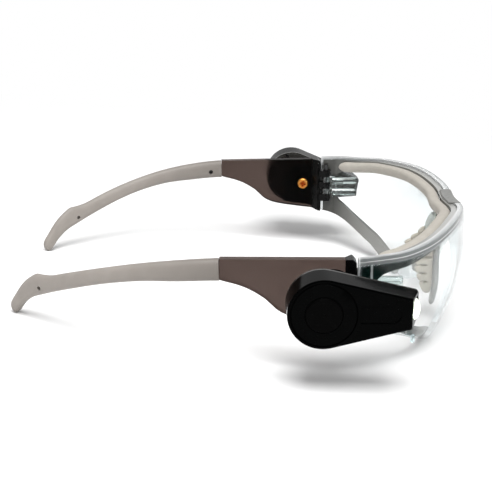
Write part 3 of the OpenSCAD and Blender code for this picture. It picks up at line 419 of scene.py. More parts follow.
# Painted shade: near-black at the bottom of the blind hole.
tint(sleeve_grey, "painted_bore_shade", (0.004, 0.004, 0.004))
hinge_black = finish("hinge_black", (0.002, 0.002, 0.002), (0.003, 0.003, 0.003), 300, (0.2, 0.3), 900,
                     4000, 0.000006, Specular_IOR_Level=0.1)
pod_black = finish("pod_black", (0.0004, 0.0005, 0.0005), (0.0006, 0.0007, 0.0007), 200, (0.12, 0.2), 500,
                   5000, 0.000003, Specular_IOR_Level=0.02)
back_black = finish("back_black", (0.028, 0.027, 0.024), (0.034, 0.033, 0.03), 200, (0.2, 0.3), 500,
                    5000, 0.000003, Specular_IOR_Level=0.3)
button_black = finish("button_black", (0.0006, 0.0006, 0.0006), (0.0009, 0.0009, 0.0009), 300,
                      (0.25, 0.35), 900, 5000, 0.000006, Specular_IOR_Level=0.02)
brass = finish("brass", (0.60, 0.22, 0.03), (1.0, 0.55, 0.15), 1300, (0.3, 0.5), 900, 2500, 0.00002,
               (1, 1, 6), Metallic=1.0)
# Painted shade: dark red-brown in the middle of each screw head and its cross recess.
tint(brass, "recess", (0.30, 0.03, 0.002))
plain_steel = finish("plain_steel", (0.62, 0.62, 0.63), (0.70, 0.70, 0.71), 500, (0.22, 0.38), 900,
                     3000, 0.00001, (1, 1, 0.1), Metallic=1.0)
dark_steel = finish("dark_steel", (0.06, 0.06, 0.062), (0.09, 0.09, 0.09), 700, (0.3, 0.45), 900,
                    3000, 0.00001, Metallic=1.0)
cell_nickel = finish("cell_nickel", (0.72, 0.71, 0.69), (0.78, 0.77, 0.75), 400, (0.2, 0.34), 900,
                     2600, 0.000008, Metallic=1.0)
solder_mask = finish("solder_mask", (0.02, 0.16, 0.06), (0.03, 0.20, 0.08), 700, (0.3, 0.45), 900,
                     3000, 0.00001)
bright_cone = finish("bright_cone", (0.88, 0.88, 0.89), (0.93, 0.93, 0.94), 500, (0.05, 0.12), 900,
                     2500, 0.000004, Metallic=1.0)
lit_phosphor = finish("lit_phosphor", (0.9, 0.9, 0.6), (0.95, 0.95, 0.7), 900, (0.4, 0.6), 900,
                      4000, 0.00001, Emission_Color=(0.93, 1.0, 0.82, 1), Emission_Strength=30.0)
lit_dome = finish("lit_dome", (0.95, 0.98, 0.92), (0.92, 0.97, 0.90), 300, (0.08, 0.16), 700,
                  3000, 0.000004, Transmission_Weight=0.6, IOR=1.45,
                  Emission_Color=(0.90, 1.0, 0.80, 1), Emission_Strength=2.2)
seal_rubber = finish("seal_rubber", (0.015, 0.015, 0.015), (0.022, 0.022, 0.022), 500, (0.5, 0.7), 900,
                     3000, 0.00002)

# Lens, frame and brow pad

lens_half = np.concatenate([np.arange(0, 5.5, 0.9), [5.8, 6.6], np.arange(7.2, 35, 0.8),
                            np.arange(WRAP, SIDE - 0.5, 1.0), [SIDE, 87.75, 88.5, 89.25, 90]])
lens_span = np.concatenate([-lens_half[:0:-1], lens_half])
EDGE_ROW = 0.6
ROWS_DOWN = 3.0
GROOVE_ROW = -7
GROOVE_DOWN = 2.3
GROOVE_DEPTH = 0.3
HIGHLIGHT_LINE_DOWN = 1.15
HIGHLIGHT_LINE_HALF = 0.2


def lens_side(off, groove=0.0):
    """Rows of the lens from its lower edge to its rim; the rim dips under the clip. A
    fine groove runs below the rim."""
    a = np.abs(lens_span)[:, None]
    low = low_height(a)
    top = rim_height(a) - NOTCH_DEPTH * (a < NOTCH_ANGLE)
    t = np.linspace(0, 1, 34)[None, :]
    first, last = low + 2 * EDGE_ROW, top - ROWS_DOWN
    rows = [low, low + EDGE_ROW, first + (last - first) * t]
    rows += [top - GROOVE_DOWN + k for k in (-HIGHLIGHT_LINE_HALF, 0, HIGHLIGHT_LINE_HALF)]
    rows += [top - HIGHLIGHT_LINE_DOWN + k for k in (-HIGHLIGHT_LINE_HALF, 0, HIGHLIGHT_LINE_HALF)]
    z = np.concatenate(rows + [top - EDGE_ROW, top], 1)
    depth = np.zeros(z.shape[1])
    depth[GROOVE_ROW] = groove
    return shell_points(lens_span[:, None] + 0 * z, z, off - depth[None, :] + 0 * z)


outer, inner = lens_side(0, GROOVE_DEPTH), lens_side(-LENS_WALL)
whole = np.ones((outer.shape[0] - 1, outer.shape[1] - 1), bool)
points, faces = walled(on_table(outer), on_table(inner), whole)
lens = finish_mesh("lens_shell", points, faces, "front", clear_lens, "lens_clear", ["lens"],
                   bevel=0.45, segments=3, angle=40)


def plan_angle(at):
    """Normal angle of the lens plan, in degrees, at which each point lies."""
    x, y = at[:, 0], np.abs(at[:, 1])
    u = np.degrees(np.arctan2(y, x - LENS_MIDDLE))
    return np.where(u < WRAP, u, np.degrees(np.arctan2(y - corner_middle[1], x - corner_middle[0])))


def rim_down(at):
    """Distance of each point below the lens's rim, in millimetres."""
    u = plan_angle(at)
    return rim_height(np.clip(u, 0, 90)) - NOTCH_DEPTH * (u < NOTCH_ANGLE) - at[:, 2]


def rim_share(at):
    """1 on the lens's rim and at its rear ends, falling to 0 over about 1 mm."""
    return np.maximum(fade(rim_down(at), 2.7, 2.1), fade(at[:, 0], LENS_REAR + 1.2, LENS_REAR))


def cover_share(at):
    """How solid the lens looks: faint at the sides, more in front, most at its rim."""
    front = fade(at[:, 0], 60, 74)
    edge = fade(at[:, 2] - low_height(np.clip(plan_angle(at), 0, 90)), 1.3, 0.7)
    return np.maximum.reduce([0.08 + 0.4 * front, 0.92 * rim_share(at), 0.3 * edge])


def depth_in(at):
    """Depth of each point behind the lens's outer face, in millimetres."""
    px, py, r, share = plan(np.clip(plan_angle(at), 0, SIDE))
    bulge = LENS_UPRIGHT_RADIUS - np.sqrt(LENS_UPRIGHT_RADIUS ** 2 - (at[:, 2] - BULGE_HEIGHT) ** 2)
    return (px - at[:, 0]) * np.cos(r) + (py - np.abs(at[:, 1])) * np.sin(r) - share * bulge


def inside_share(at):
    """1 on the wearer's side of the lens's rim."""
    return np.where(depth_in(at) > LENS_WALL / 2, 1.0, 0.0) * rim_share(at)


def highlight_line_share(at):
    """1 on two fine lines below the rim, on the outer face, and at the rear ends: painted highlights."""
    down = rim_down(at)
    lines = sum(fade(np.abs(down - k), HIGHLIGHT_LINE_HALF, 0) for k in (HIGHLIGHT_LINE_DOWN, GROOVE_DOWN))
    lines = lines * (inside_share(at) < 0.5)
    return np.clip(lines + fade(at[:, 0], LENS_REAR + 0.8, LENS_REAR), 0, 1)


mark(lens, "rim", rim_share)
mark(lens, "inside", inside_share)
# The line share carries the painted highlights.
mark(lens, "line", highlight_line_share)
mark(lens, "cover", cover_share)

GATE_ANGLE = 42.0
GATE_PROFILE = np.array([(0.74, 1.0), (0.74, -1.25), (0.66, -1.42), (0.5, -1.5)])


def gate_rings(sides=24):
    """Moulding stub under the right lobe: a disc's radius and height at four levels."""
    u = np.array([GATE_ANGLE])
    middle = shell_points(-u, low_height(u), -LENS_WALL / 2)[0]
    t = np.linspace(0, 2 * math.pi, sides, endpoint=False)
    wide, level = GATE_PROFILE[:, :1], GATE_PROFILE[:, 1:]
    return middle + np.stack([wide * np.cos(t), wide * np.sin(t), level + 0 * t], -1)


points, faces = swept(on_table(gate_rings()))
finish_mesh("lens_gate_stub", points, faces, "front", clear_gate, "lens_clear")

# The window ends and the lower arm starts at a step of the solid's plan, in degrees

WINDOW_END = WRAP + (SIDE - WRAP) * 12 / 13
WINDOW_ROUND = 7.0
ARM_START = 20 + (WRAP - 20) / 8
ARM_ROUND = 2.5
ARM_CELLS, OPEN_CELLS, BAR_CELLS = 6, 2, 6
frame_half = np.concatenate([np.arange(0, 21.5, 1.0), ARM_START + np.arange(0, 4, 0.25),
                             np.arange(26, 35, 0.8), np.arange(WRAP, 74, 1.0),
                             np.linspace(WINDOW_END - 8, WINDOW_END, 22)[1:],
                             [83.5, 83.9, 84.3, 84.7, 85.1, 85.5, 86.2, SIDE, 88, 88.998]])
frame_span = np.concatenate([-frame_half[:0:-1], frame_half])


def frame_side(inner):
    """Grid of the frame: rows over the lower arm, the open window and the upper bar.
    The window closes to nothing as a half ellipse at its rear end, and so does the arm
    at its front end."""
    a = np.abs(frame_span)
    wall = FRAME_WALL + (FRAME_WALL_REAR - FRAME_WALL) * fade(place(a), 76, 83)
    top = rim_height(a) - FRAME_DROP
    low = low_height(a) + FRAME_LIFT
    bar = top - smooth(BAR_CURVE, place(a))
    arm = low + smooth(ARM_CURVE, place(a))
    close = quarter_circle((a - WINDOW_END + WINDOW_ROUND) / WINDOW_ROUND)
    middle = (arm + bar) / 2
    half_gap = (bar - arm) / 2 * close
    bar, arm = middle + half_gap, middle - half_gap
    taper = quarter_circle((ARM_START + ARM_ROUND - a) / ARM_ROUND)
    arm = low + (arm - low) * taper
    rows = [low + (arm - low) * t for t in np.linspace(0, 1, ARM_CELLS + 1)]
    rows += [arm + (bar - arm) * t for t in np.linspace(0, 1, OPEN_CELLS + 1)[1:]]
    rows += [bar + (top - bar) * t for t in np.linspace(0, 1, BAR_CELLS + 1)[1:]]
    z = np.stack(rows, -1)
    off = -LENS_WALL - FRAME_GAP - (wall if inner else 0 * wall)
    return shell_points(frame_span[:, None] + 0 * z, z, off[:, None])


cell = np.abs((frame_span[1:] + frame_span[:-1]) / 2)
keep = np.ones((len(frame_span) - 1, ARM_CELLS + OPEN_CELLS + BAR_CELLS), bool)
keep[:, :ARM_CELLS] = (cell > ARM_START)[:, None]
keep[:, ARM_CELLS:ARM_CELLS + OPEN_CELLS] = (cell > WINDOW_END)[:, None]
points, faces = walled(on_table(frame_side(False)), on_table(frame_side(True)), keep)
frame_piece = finish_mesh("frame_moulding", points, faces, "front", smoke_frame, "frame_smoke",
                          ["brow_frame"], bevel=0.3, angle=40)


def outer_face(at):
    """1 on the frame's face towards the lens, 0 on the wearer's side."""
    return fade(depth_in(at), 3.2, 2.4)


HIGHLIGHT_STRIPE_X = 38.9
mark(frame_piece, "front", lambda at: fade(at[:, 0], 40, 62) ** 0.8)
# The outer share carries the painted shade.
mark(frame_piece, "outer", lambda at: outer_face(at) * fade(at[:, 0], 64, 50))
mark(frame_piece, "highlight_stripe", lambda at: outer_face(at) * (np.abs(at[:, 0] - HIGHLIGHT_STRIPE_X) < 0.3))

CUSHION_THICK = 4.4
CUSHION_HIGH = 4.4
CUSHION_END = 77.0
CUSHION_ROUND = 9.0
CUSHION_GAP = 0.25
CUSHION_DROP = 0.1
CUSHION_OFF = -(LENS_WALL + FRAME_GAP + FRAME_WALL + CUSHION_GAP) - CUSHION_THICK / 2


def cushion_rings(count=96, sides=32):
    """Rounded strip along the brow line: a superellipse at each angle, shrunk as a
    quarter circle over the last 9 degrees."""
    i = np.linspace(-1, 1, 2 * count + 1)
    a = CUSHION_END * (1 - (1 - np.abs(i)) ** 1.35) * np.sign(i)
    k = quarter_circle((np.abs(a) - CUSHION_END + CUSHION_ROUND) / (CUSHION_ROUND + 0.03))[:, None]
    ring = oval(CUSHION_THICK / 2, CUSHION_HIGH / 2, sides, 2.6)
    middle = (rim_height(np.abs(a)) - FRAME_DROP - CUSHION_DROP - CUSHION_HIGH / 2)[:, None]
    off = CUSHION_OFF + ring[None, :, 0] * (0.4 + 0.6 * k)
    return shell_points(a[:, None] + 0 * off, middle + ring[None, :, 1] * k, off)


points, faces = swept(on_table(cushion_rings()))
pad = finish_mesh("brow_cushion", points, faces, "front", beige_foam, "pad_foam", ["brow_pad"],
                  smooth_angle=60)

# Clip and nose band

CLIP_ANGLE = 5.7
CLIP_SECTION = np.array([(-4.2, 0.1), (0.25, 0.1), (0.3, -1.6), (0.65, -1.45), (0.5, 0.45), (-0.2, 0.85),
                         (-3.9, 0.8)])


def clip_rings(count=24):
    """The clip's section carried along the lens and lifted with its notched rim."""
    a = np.linspace(-CLIP_ANGLE, CLIP_ANGLE, 2 * count + 1)
    rim = (rim_height(np.abs(a)) - NOTCH_DEPTH)[:, None] + 0 * CLIP_SECTION[None, :, 0]
    p = shell_points(a[:, None] + 0 * rim, rim, CLIP_SECTION[None, :, 0])
    p[..., 2] += CLIP_SECTION[None, :, 1]
    return p


points, faces = swept(on_table(clip_rings()))
finish_mesh("brow_clip", points, faces, "front", clip_grey, "cover_grey", ["bridge_cover"],
            bevel=0.3, segments=3, angle=30)

BOW = np.array([(8.9, 0, 10.9), (9.2, 4.6, 9.6), (9.9, 8.8, 5.4), (10.6, 12.4, -1.8), (11.3, 16, -10),
                (13.2, 19.4, -17)])
BOW_END = len(BOW) - 1
BOW_ROUND = 0.3
BOW_DEEP = 1.1
BOW_WIDTH = [(0, 4), (1, 4.2), (2, 4.4), (3, 4.4), (4, 4.2), (5, 3.6)]


def bow_point(u):
    """Middle line of the nose band: a smooth curve through the bow's points, mirrored."""
    t = np.abs(u)
    step = np.arange(len(BOW))
    x, y, z = (smooth(np.stack([step, BOW[:, k]], -1), t) for k in range(3))
    return np.stack([LENS_FRONT - x, y * np.sign(u), z], -1)


def bow_rings(count=70, sides=24):
    """Tube along the bow: its section's short axis stays as near to forward as it can."""
    u = np.linspace(-BOW_END, BOW_END, 2 * count + 1)
    d = bow_point(np.minimum(u + 0.05, BOW_END)) - bow_point(np.maximum(u - 0.05, -BOW_END))
    d /= np.linalg.norm(d, axis=-1, keepdims=True)
    x = np.cross(np.cross(d, [1.0, 0, 0]), d)
    x /= np.linalg.norm(x, axis=-1, keepdims=True)
    w = np.cross(x, d)
    end = np.minimum((np.abs(u) - BOW_END + BOW_ROUND) / BOW_ROUND, 0.995)
    ring = oval(1, 1, sides, 2.6)[None]
    wide = (smooth(BOW_WIDTH, np.abs(u)) / 2)[:, None, None]
    around = x[:, None] * BOW_DEEP * ring[..., :1] + w[:, None] * wide * ring[..., 1:]
    return bow_point(u)[:, None] + quarter_circle(end)[:, None, None] * around


points, faces = swept(on_table(bow_rings()))
band = finish_mesh("nose_band", points, faces, "front", band_grey, "bridge_grey", smooth_angle=60)

NECK_REACH = np.array([(72.4, -3.2, 9.5), (77.0, 3.2, 12.3)])


def neck_block():
    """Block that joins the nose band to the brow: the eight corners of its reach. The
    bevel rounds it."""
    corner = np.arange(8)[:, None] >> np.arange(3) & 1
    faces = [[0, 2, 3, 1], [4, 5, 7, 6], [0, 1, 5, 4], [2, 6, 7, 3], [0, 4, 6, 2], [1, 3, 7, 5]]
    return NECK_REACH[corner, np.arange(3)], faces


def pale_share(at):
    """1 on the pale top of the nose band, falling to 0 over 3 mm of its legs. It starts to
    fall 2.5 mm higher on the right leg."""
    return fade(at[:, 2] - 2.5 * (at[:, 1] < 0), -0.5, 2.5)


points, faces = neck_block()
neck = finish_mesh("nose_band_neck", on_table(points), faces, "front", band_grey, "bridge_grey",
                   ["nose_bridge"], bevel=0.7, segments=4, angle=30)
for part in (band, neck):
    mark(part, "pale", pale_share)

# Nose pads

BLADE_REAR = [(-13.4, 65.6), (-11, 64.6), (-8, 63.6), (-5, 62.8), (-3, 63), (-1, 64.6), (1.5, 67.2),
              (4.4, 69.4)]
BLADE_FRONT = [(-13.4, 68.2), (-10, 68.9), (-5.6, 69.4), (-1.8, 69.6), (1.5, 70), (4.4, 70.4)]
BLADE_ROWS = 120
BLADE_COLUMNS = 41
BLADE_BOTTOM = -13.4
BLADE_TOP = 4.4
BLADE_CORNER = 1.2
BLADE_HALF = 1.1
BLADE_OUT = 12.6
BLADE_LEAN = 0.383
NICK = 1.1
SLOTS = (-9.4, -6.6, -3.8, -1.2, 1.4)
SLOT_HALF = (0.5, 0.85, 1.2, 1.2, 0.9)
SLOT_DEPTH = 0.7


def blade_side(side, face):
    """One face of a nose pad: a leaning blade between a notched rear edge and a front
    edge. Its half thickness is a superellipse of power 6 across, and sinks over five
    slots. Gives the points and, for each, 1 in a slot and 0 outside."""
    z = np.linspace(BLADE_BOTTOM, BLADE_TOP, BLADE_ROWS)[:, None]
    t = np.linspace(-1, 1, BLADE_COLUMNS)[None, :]
    near = smooth(BLADE_REAR, z)
    far = smooth(BLADE_FRONT, z)
    for mid in SLOTS:
        near = near + NICK * np.exp(-((z - mid) / 0.45) ** 2)
    tall = (BLADE_TOP - BLADE_BOTTOM) / 2
    close = quarter_circle((np.abs(z - BLADE_TOP + tall) - tall + BLADE_CORNER) / (BLADE_CORNER + 0.02))
    middle, width = (near + far) / 2, (far - near) / 2 * (0.15 + 0.85 * close)
    x = middle + width * t
    slot = np.zeros(x.shape)
    for mid, reach in zip(SLOTS, SLOT_HALF):
        upward = fade(np.abs(z - mid), 0.63, 0.21)
        forward = fade(np.abs(x - near - 1.0 - reach), reach + 0.3, reach)
        slot = np.maximum(slot, upward * forward)
    deep = BLADE_HALF * (1 - np.abs(t) ** 6 * 0.999) ** (1 / 6) * (0.2 + 0.8 * close) - SLOT_DEPTH * slot
    y = BLADE_OUT - BLADE_LEAN * (z + 3.2) + face * np.maximum(deep, 0.1)
    return np.stack([x, side * y, z + 0 * x], -1), slot


for side, s in SIDES:
    (far_side, far_slot), (near_side, near_slot) = blade_side(s, 1), blade_side(s, -1)
    whole = np.ones((BLADE_ROWS - 1, BLADE_COLUMNS - 1), bool)
    points, faces = walled(on_table(far_side), on_table(near_side), whole)
    gel = finish_mesh(f"{side}_nose_blade", points, faces, "front", nose_gel, "nose_soft",
                      [f"{side}_nose_pad"], smooth_angle=50)
    # The slot share also carries the painted shade in the slots.
    value = np.stack([far_slot, near_slot]).reshape(-1).astype(np.float32)
    gel.data.attributes.new("slot", "FLOAT", "POINT").data.foreach_set("value", value)

# Sleeves

PLATE_REAR = -9.7
JOINT_Y = 66.8318
TOE = 2.62
PLAN_RADIUS = 98.0
SIDE_VIEW_RADIUS = 145.0
BEND_START = -7.0
PLAN_END = -62.0
TIP_START = -72.5
TIP_RADIUS = 14.0
TIP_ANGLE = 52.0
TIP_LENGTH = 8.6
SLEEVE_HEIGHT = 14.1
END_ROUND = 2.2
SLEEVE_THICK = 4.4
SLEEVE_THINNER = 0.6
ABOVE = [(0, 3.7), (14, 3.4), (26, 3.3), (39, 3.2), (53, 3.3), (58, 3.5), (61.5, 4.5), (63.5, 5.3),
         (66, 4.9), (70, 4.2), (74, 3.7), (77, 3.3), (80, 2.3)]
BELOW = [(0, 3.7), (14, 3.5), (26, 2.5), (39, 2.1), (53, 2.2), (60, 2.2), (66, 2.1), (70, 1.6), (74, 0.9),
         (77, 1.0), (80, 1.5)]
CORD_HOLE = 1.6
CORD_HOLE_X = -70.6
CORD_HOLE_ABOVE = 0.3
BLIND_HOLE = 1.8
BLIND_HOLE_AT = (-14.4, 13.1)
BLIND_HOLE_FLOOR = -0.9
HOLE_REACH = 6.0


def sleeve_path():
    """Side view of the sleeve's middle line: an arc of radius 145 mm, a tighter arc of
    14 mm and a straight tip. Gives x, z and the downward angle in degrees."""
    x1 = np.linspace(PLATE_REAR, TIP_START, 110)
    a1 = np.degrees(np.arcsin(np.maximum(BEND_START - x1, 0) / SIDE_VIEW_RADIUS))
    z1 = SLEEVE_HEIGHT - SIDE_VIEW_RADIUS * (1 - np.cos(np.radians(a1)))
    first = a1[-1]
    a2 = np.linspace(first, TIP_ANGLE, 24)[1:]
    x2 = TIP_START - TIP_RADIUS * (np.sin(np.radians(a2)) - math.sin(math.radians(first)))
    z2 = z1[-1] - TIP_RADIUS * (math.cos(math.radians(first)) - np.cos(np.radians(a2)))
    d = TIP_LENGTH * (1 - (1 - np.linspace(0, 1, 40)[1:]) ** 1.8)
    x3 = x2[-1] - d * math.cos(math.radians(TIP_ANGLE))
    z3 = z2[-1] - d * math.sin(math.radians(TIP_ANGLE))
    fall = np.concatenate([a1, a2, 0 * d + TIP_ANGLE])
    return np.concatenate([x1, x2, x3]), np.concatenate([z1, z2, z3]), fall


def sleeve_plan(x):
    """Plan of the sleeve at x: its direction in radians and its distance outwards. It
    bends inward on an arc of 98 mm as far as PLAN_END and then runs straight."""
    toe = math.radians(TOE)
    turn = np.arcsin(math.sin(toe) + (PLATE_REAR - np.maximum(x, PLAN_END)) / PLAN_RADIUS)
    y = JOINT_Y - PLAN_RADIUS * (math.cos(toe) - np.cos(turn)) - np.maximum(PLAN_END - x, 0) * np.tan(turn)
    return turn, y


def sleeve_rings(side, sides=48):
    """Superellipse rings square to the path, with one height above it and another below.
    The last 2.2 mm shrink as a quarter circle."""
    x, z, fall = sleeve_path()
    turn, y = sleeve_plan(x)
    length = np.concatenate([[0], np.cumsum(np.hypot(np.diff(x), np.diff(z)))])
    k = quarter_circle((length - length[-1] + END_ROUND) / (END_ROUND + 0.02))
    above, below = (smooth(curve, length) * (0.1 + 0.9 * k) for curve in (ABOVE, BELOW))
    thick = (SLEEVE_THICK - SLEEVE_THINNER * length / length[-1]) * k
    f = np.radians(fall)
    out = np.stack([-np.sin(turn), np.cos(turn), 0 * turn], -1)
    up = np.stack([-np.sin(f) * np.cos(turn), -np.sin(f) * np.sin(turn), np.cos(f)], -1)
    ring = oval(0.5, 1, sides, 2.5)
    high = np.where(ring[None, :, 1] > 0, above[:, None], below[:, None]) * ring[None, :, 1]
    p = (np.stack([x, y, z], -1)[:, None] + out[:, None] * ring[None, :, :1] * thick[:, None, None]
         + up[:, None] * high[..., None])
    return p * np.array([1, side, 1])


def hole_rod(side, x, z, wide, low, high):
    """Rod of a hole square to the sleeve, from low to high millimetres outwards of its
    middle line."""
    turn, y = sleeve_plan(x)
    t = np.linspace(0, 2 * math.pi, 32, endpoint=False)
    along = np.array([np.cos(turn), np.sin(turn), 0])
    out = np.array([-np.sin(turn), np.cos(turn), 0])
    circle = wide / 2 * (np.cos(t)[:, None] * along + np.sin(t)[:, None] * [0, 0, 1.0])
    rings = np.stack([np.array([x, y, z]) + d * out + circle for d in (low, high)])
    return swept(on_table(rings * np.array([1, side, 1])))


def bore_shade_share(at):
    """1 at the bottom of the blind hole on a sleeve's inner face, painted near-black as shade."""
    x, z = BLIND_HOLE_AT
    y = sleeve_plan(x)[1]
    near = np.hypot(at[:, 0] - x, at[:, 2] - z) < BLIND_HOLE / 2 + 0.1
    return np.where(near & (np.abs(np.abs(at[:, 1]) - y) < 1.3), 1.0, 0.0)


path_x, path_z = sleeve_path()[:2]
cord_hole_z = np.interp(-CORD_HOLE_X, -path_x, path_z) + CORD_HOLE_ABOVE
for side, s in SIDES:
    points, faces = swept(on_table(sleeve_rings(s)))
    mesh = drilled(closed_mesh(f"{side}_sleeve", points, faces),
                   [hole_rod(s, CORD_HOLE_X, cord_hole_z, CORD_HOLE, -HOLE_REACH, HOLE_REACH),
                    hole_rod(s, *BLIND_HOLE_AT, BLIND_HOLE, -HOLE_REACH, BLIND_HOLE_FLOOR)])
    sleeve = piece(f"{side}_sleeve", mesh, f"{side}_temple", sleeve_grey, "sleeve_soft",
                   [f"{side}_temple_sleeve"], smooth_angle=60)
    # Painted shade, darker towards the sleeve's front.
    mark(sleeve, "front", lambda at: fade(at[:, 0], -45, -5))
    mark(sleeve, "painted_bore_shade", bore_shade_share)

# Moulded and metal pieces: the solids with rounded edges


def rounded_copy(node, body, look, bevel=0, segments=2, angle=35):
    """A merged copy of a solid, with its flat faces joined and its edges rounded."""
    bm = bmesh.new()
    bm.from_mesh(nodes[node].data)
    bmesh.ops.remove_doubles(bm, verts=bm.verts, dist=2e-6)
    bmesh.ops.dissolve_limit(bm, angle_limit=math.radians(0.6), verts=bm.verts, edges=bm.edges)
    mesh = bpy.data.meshes.new(f"{node}_finish")
    bm.to_mesh(mesh)
    bm.free()
    slot = next(p["material_slot"] for p in frame["record"]["subparts"] if p["node"] == node)
    return piece(mesh.name, mesh, body, look, slot, [node], bevel, segments, angle)


RIB_Y = HINGE[1] - 1.75
RIB_RADIUS = 1.45
RIB_FRONT = 48.4
RIB_ROUND = 1.4
RIB_HEIGHTS = (4.0, 8.9)
RIB_HIGHLIGHT_ANGLE = 52.0


def rib_highlight_share(at, z):
    """1 on a narrow band high on the inner side of a rib, where a highlight is painted."""
    turn = np.degrees(np.arctan2(at[:, 2] - z, RIB_Y - np.abs(at[:, 1])))
    return fade(np.abs(turn - RIB_HIGHLIGHT_ANGLE), 18, 6) * (at[:, 0] < RIB_FRONT + 0.1)


def rib_rings(side, z, sides=32):
    """Round rib of a hinge lug: a rod along x whose front end shrinks as a quarter circle."""
    x = np.concatenate([[39.0, 44.0], RIB_FRONT + RIB_ROUND * np.sin(np.linspace(0, 1.5, 7))])
    k = quarter_circle((x - RIB_FRONT) / (RIB_ROUND + 0.02))[:, None] * RIB_RADIUS
    t = np.linspace(0, 2 * math.pi, sides, endpoint=False)[None, :]
    return np.stack([x[:, None] + 0 * t, side * (RIB_Y + k * np.cos(t)), z + k * np.sin(t)], -1)


def recess_shade_share(at):
    """1 in the middle of a screw head, with its cross recess, fading to 0 at its edge; there the brass is painted
    darker as shade.
    """
    middle = (at.max(axis=0) + at.min(axis=0)) / 2
    wide = (at.max(axis=0) - at.min(axis=0))[0] / 2
    away = np.hypot(at[:, 0] - middle[0], at[:, 2] - middle[2]) / wide
    return np.clip(2.0 - 2.1 * away, 0, 1)


# Painted shade: a thin black sheet darkens the smoky temple around its lamp pod's base.
SHADE_SHEET = np.array([(17, 0.5), (18, -1.6), (24, -2.6), (30, -3.6), (33.4, -4.4), (33.6, 6), (20, 6)])
SHADE_SHEET_DEPTHS = (0.02, 0.24)
TEMPLE_FRONT = 33.9
TEMPLE_FACE = HINGE[1] + 4.6


def shade_sheet_rings(side):
    """Thin black sheet of painted shade on the outer face of a temple's lower front
    corner: one outline at two depths, parallel to the toed-in face."""
    x, z = SHADE_SHEET.T
    face = TEMPLE_FACE - (TEMPLE_FRONT - x) * math.tan(math.radians(TOE))
    return np.stack([np.stack([x, side * (face + deep), z], -1) for deep in SHADE_SHEET_DEPTHS])


for side, s in SIDES:
    points, faces = swept(on_table(shade_sheet_rings(s)))
    finish_mesh(f"{side}_painted_shade_sheet", points, faces, f"{side}_temple", pod_black, "pod_black")
    for k, z in enumerate(RIB_HEIGHTS, 1):
        points, faces = swept(on_table(rib_rings(s, z)))
        rib = finish_mesh(f"{side}_lug_rib_{k}", points, faces, "front", lug_rib, "lug_clear",
                          smooth_angle=60)
        mark(rib, "line", lambda at, z=z: rib_highlight_share(at, z))

INNER_LOOKS = {"hinge_pin": dark_steel, "friction_washer": plain_steel, "pod_screws": dark_steel,
               "coin_cells": cell_nickel, "cell_spring": plain_steel, "contact_board": solder_mask,
               "switch_dome": plain_steel, "led_board": solder_mask, "led": lit_phosphor,
               "reflector": bright_cone, "cover_seal": seal_rubber}
for side, s in SIDES:
    temple, pod = f"{side}_temple", f"{side}_pod"
    rounded_copy(f"{side}_temple_arm", temple, smoke_temple, 0.35, 3)
    rounded_copy(f"{side}_hinge_block", temple, hinge_black, 0.2)
    rounded_copy(f"{side}_pod_base", temple, pod_black, 0.2)
    rounded_copy(f"{side}_hinge_lug", "front", clear_lug, 0.12)
    rounded_copy(f"{side}_pod_shell", pod, pod_black, 0.3, 3, 40)
    rounded_copy(f"{side}_pod_back", pod, back_black, 0.15)
    rounded_copy(f"{side}_battery_cover", f"{side}_cover", pod_black, 0.2)
    rounded_copy(f"{side}_push_button", f"{side}_button", button_black, 0.15)
    screw = rounded_copy(f"{side}_pivot_screw", pod, brass, 0.12)
    mark(screw, "recess", recess_shade_share)
    rounded_copy(f"{side}_led_lens", pod, lit_dome)
    for node, look in INNER_LOOKS.items():
        materials = nodes[f"{side}_{node}"].data.materials
        materials.clear()
        materials.append(look)

# Table, light and camera

bpy.context.scene.view_settings.view_transform = "Standard"

TABLE_COLOUR = (0.9, 0.9, 0.9)
WHITE_FROM = 0.13
WHITE_FULL = 0.4


def table_finish():
    """A matt white finish, which turns to even white away from the glasses for the
    camera, clear parts and glossy parts, so that the shadows keep their place on it."""
    mat = bpy.data.materials.new("table_white")
    mat.use_nodes = True
    tree = mat.node_tree
    shader = tree.nodes["Principled BSDF"]
    shader.inputs["Base Color"].default_value = (*TABLE_COLOUR, 1)
    shader.inputs["Roughness"].default_value = 0.9
    shader.inputs["Specular IOR Level"].default_value = 0.1
    white = tree.nodes.new("ShaderNodeEmission")
    spots = tree.nodes.new("ShaderNodeTexCoord")
    away = tree.nodes.new("ShaderNodeVectorMath")
    away.operation = "LENGTH"
    tree.links.new(spots.outputs["Object"], away.inputs[0])
    share = tree.nodes.new("ShaderNodeMapRange")
    share.interpolation_type = "SMOOTHSTEP"
    share.inputs["From Min"].default_value = WHITE_FROM
    share.inputs["From Max"].default_value = WHITE_FULL
    tree.links.new(away.outputs["Value"], share.inputs["Value"])

    def joined(operation, first, second):
        """The result of a sum of this kind on two outputs."""
        n = tree.nodes.new("ShaderNodeMath")
        n.operation = operation
        tree.links.new(first, n.inputs[0])
        tree.links.new(second, n.inputs[1])
        return n.outputs[0]

    rays = tree.nodes.new("ShaderNodeLightPath").outputs
    seen = joined("MAXIMUM", rays["Is Camera Ray"], rays["Is Transmission Ray"])
    seen = joined("MAXIMUM", seen, rays["Is Glossy Ray"])
    mix = tree.nodes.new("ShaderNodeMixShader")
    tree.links.new(joined("MULTIPLY", seen, share.outputs["Result"]), mix.inputs["Fac"])
    tree.links.new(shader.outputs["BSDF"], mix.inputs[1])
    tree.links.new(white.outputs["Emission"], mix.inputs[2])
    tree.links.new(mix.outputs["Shader"], tree.nodes["Material Output"].inputs["Surface"])
    return mat


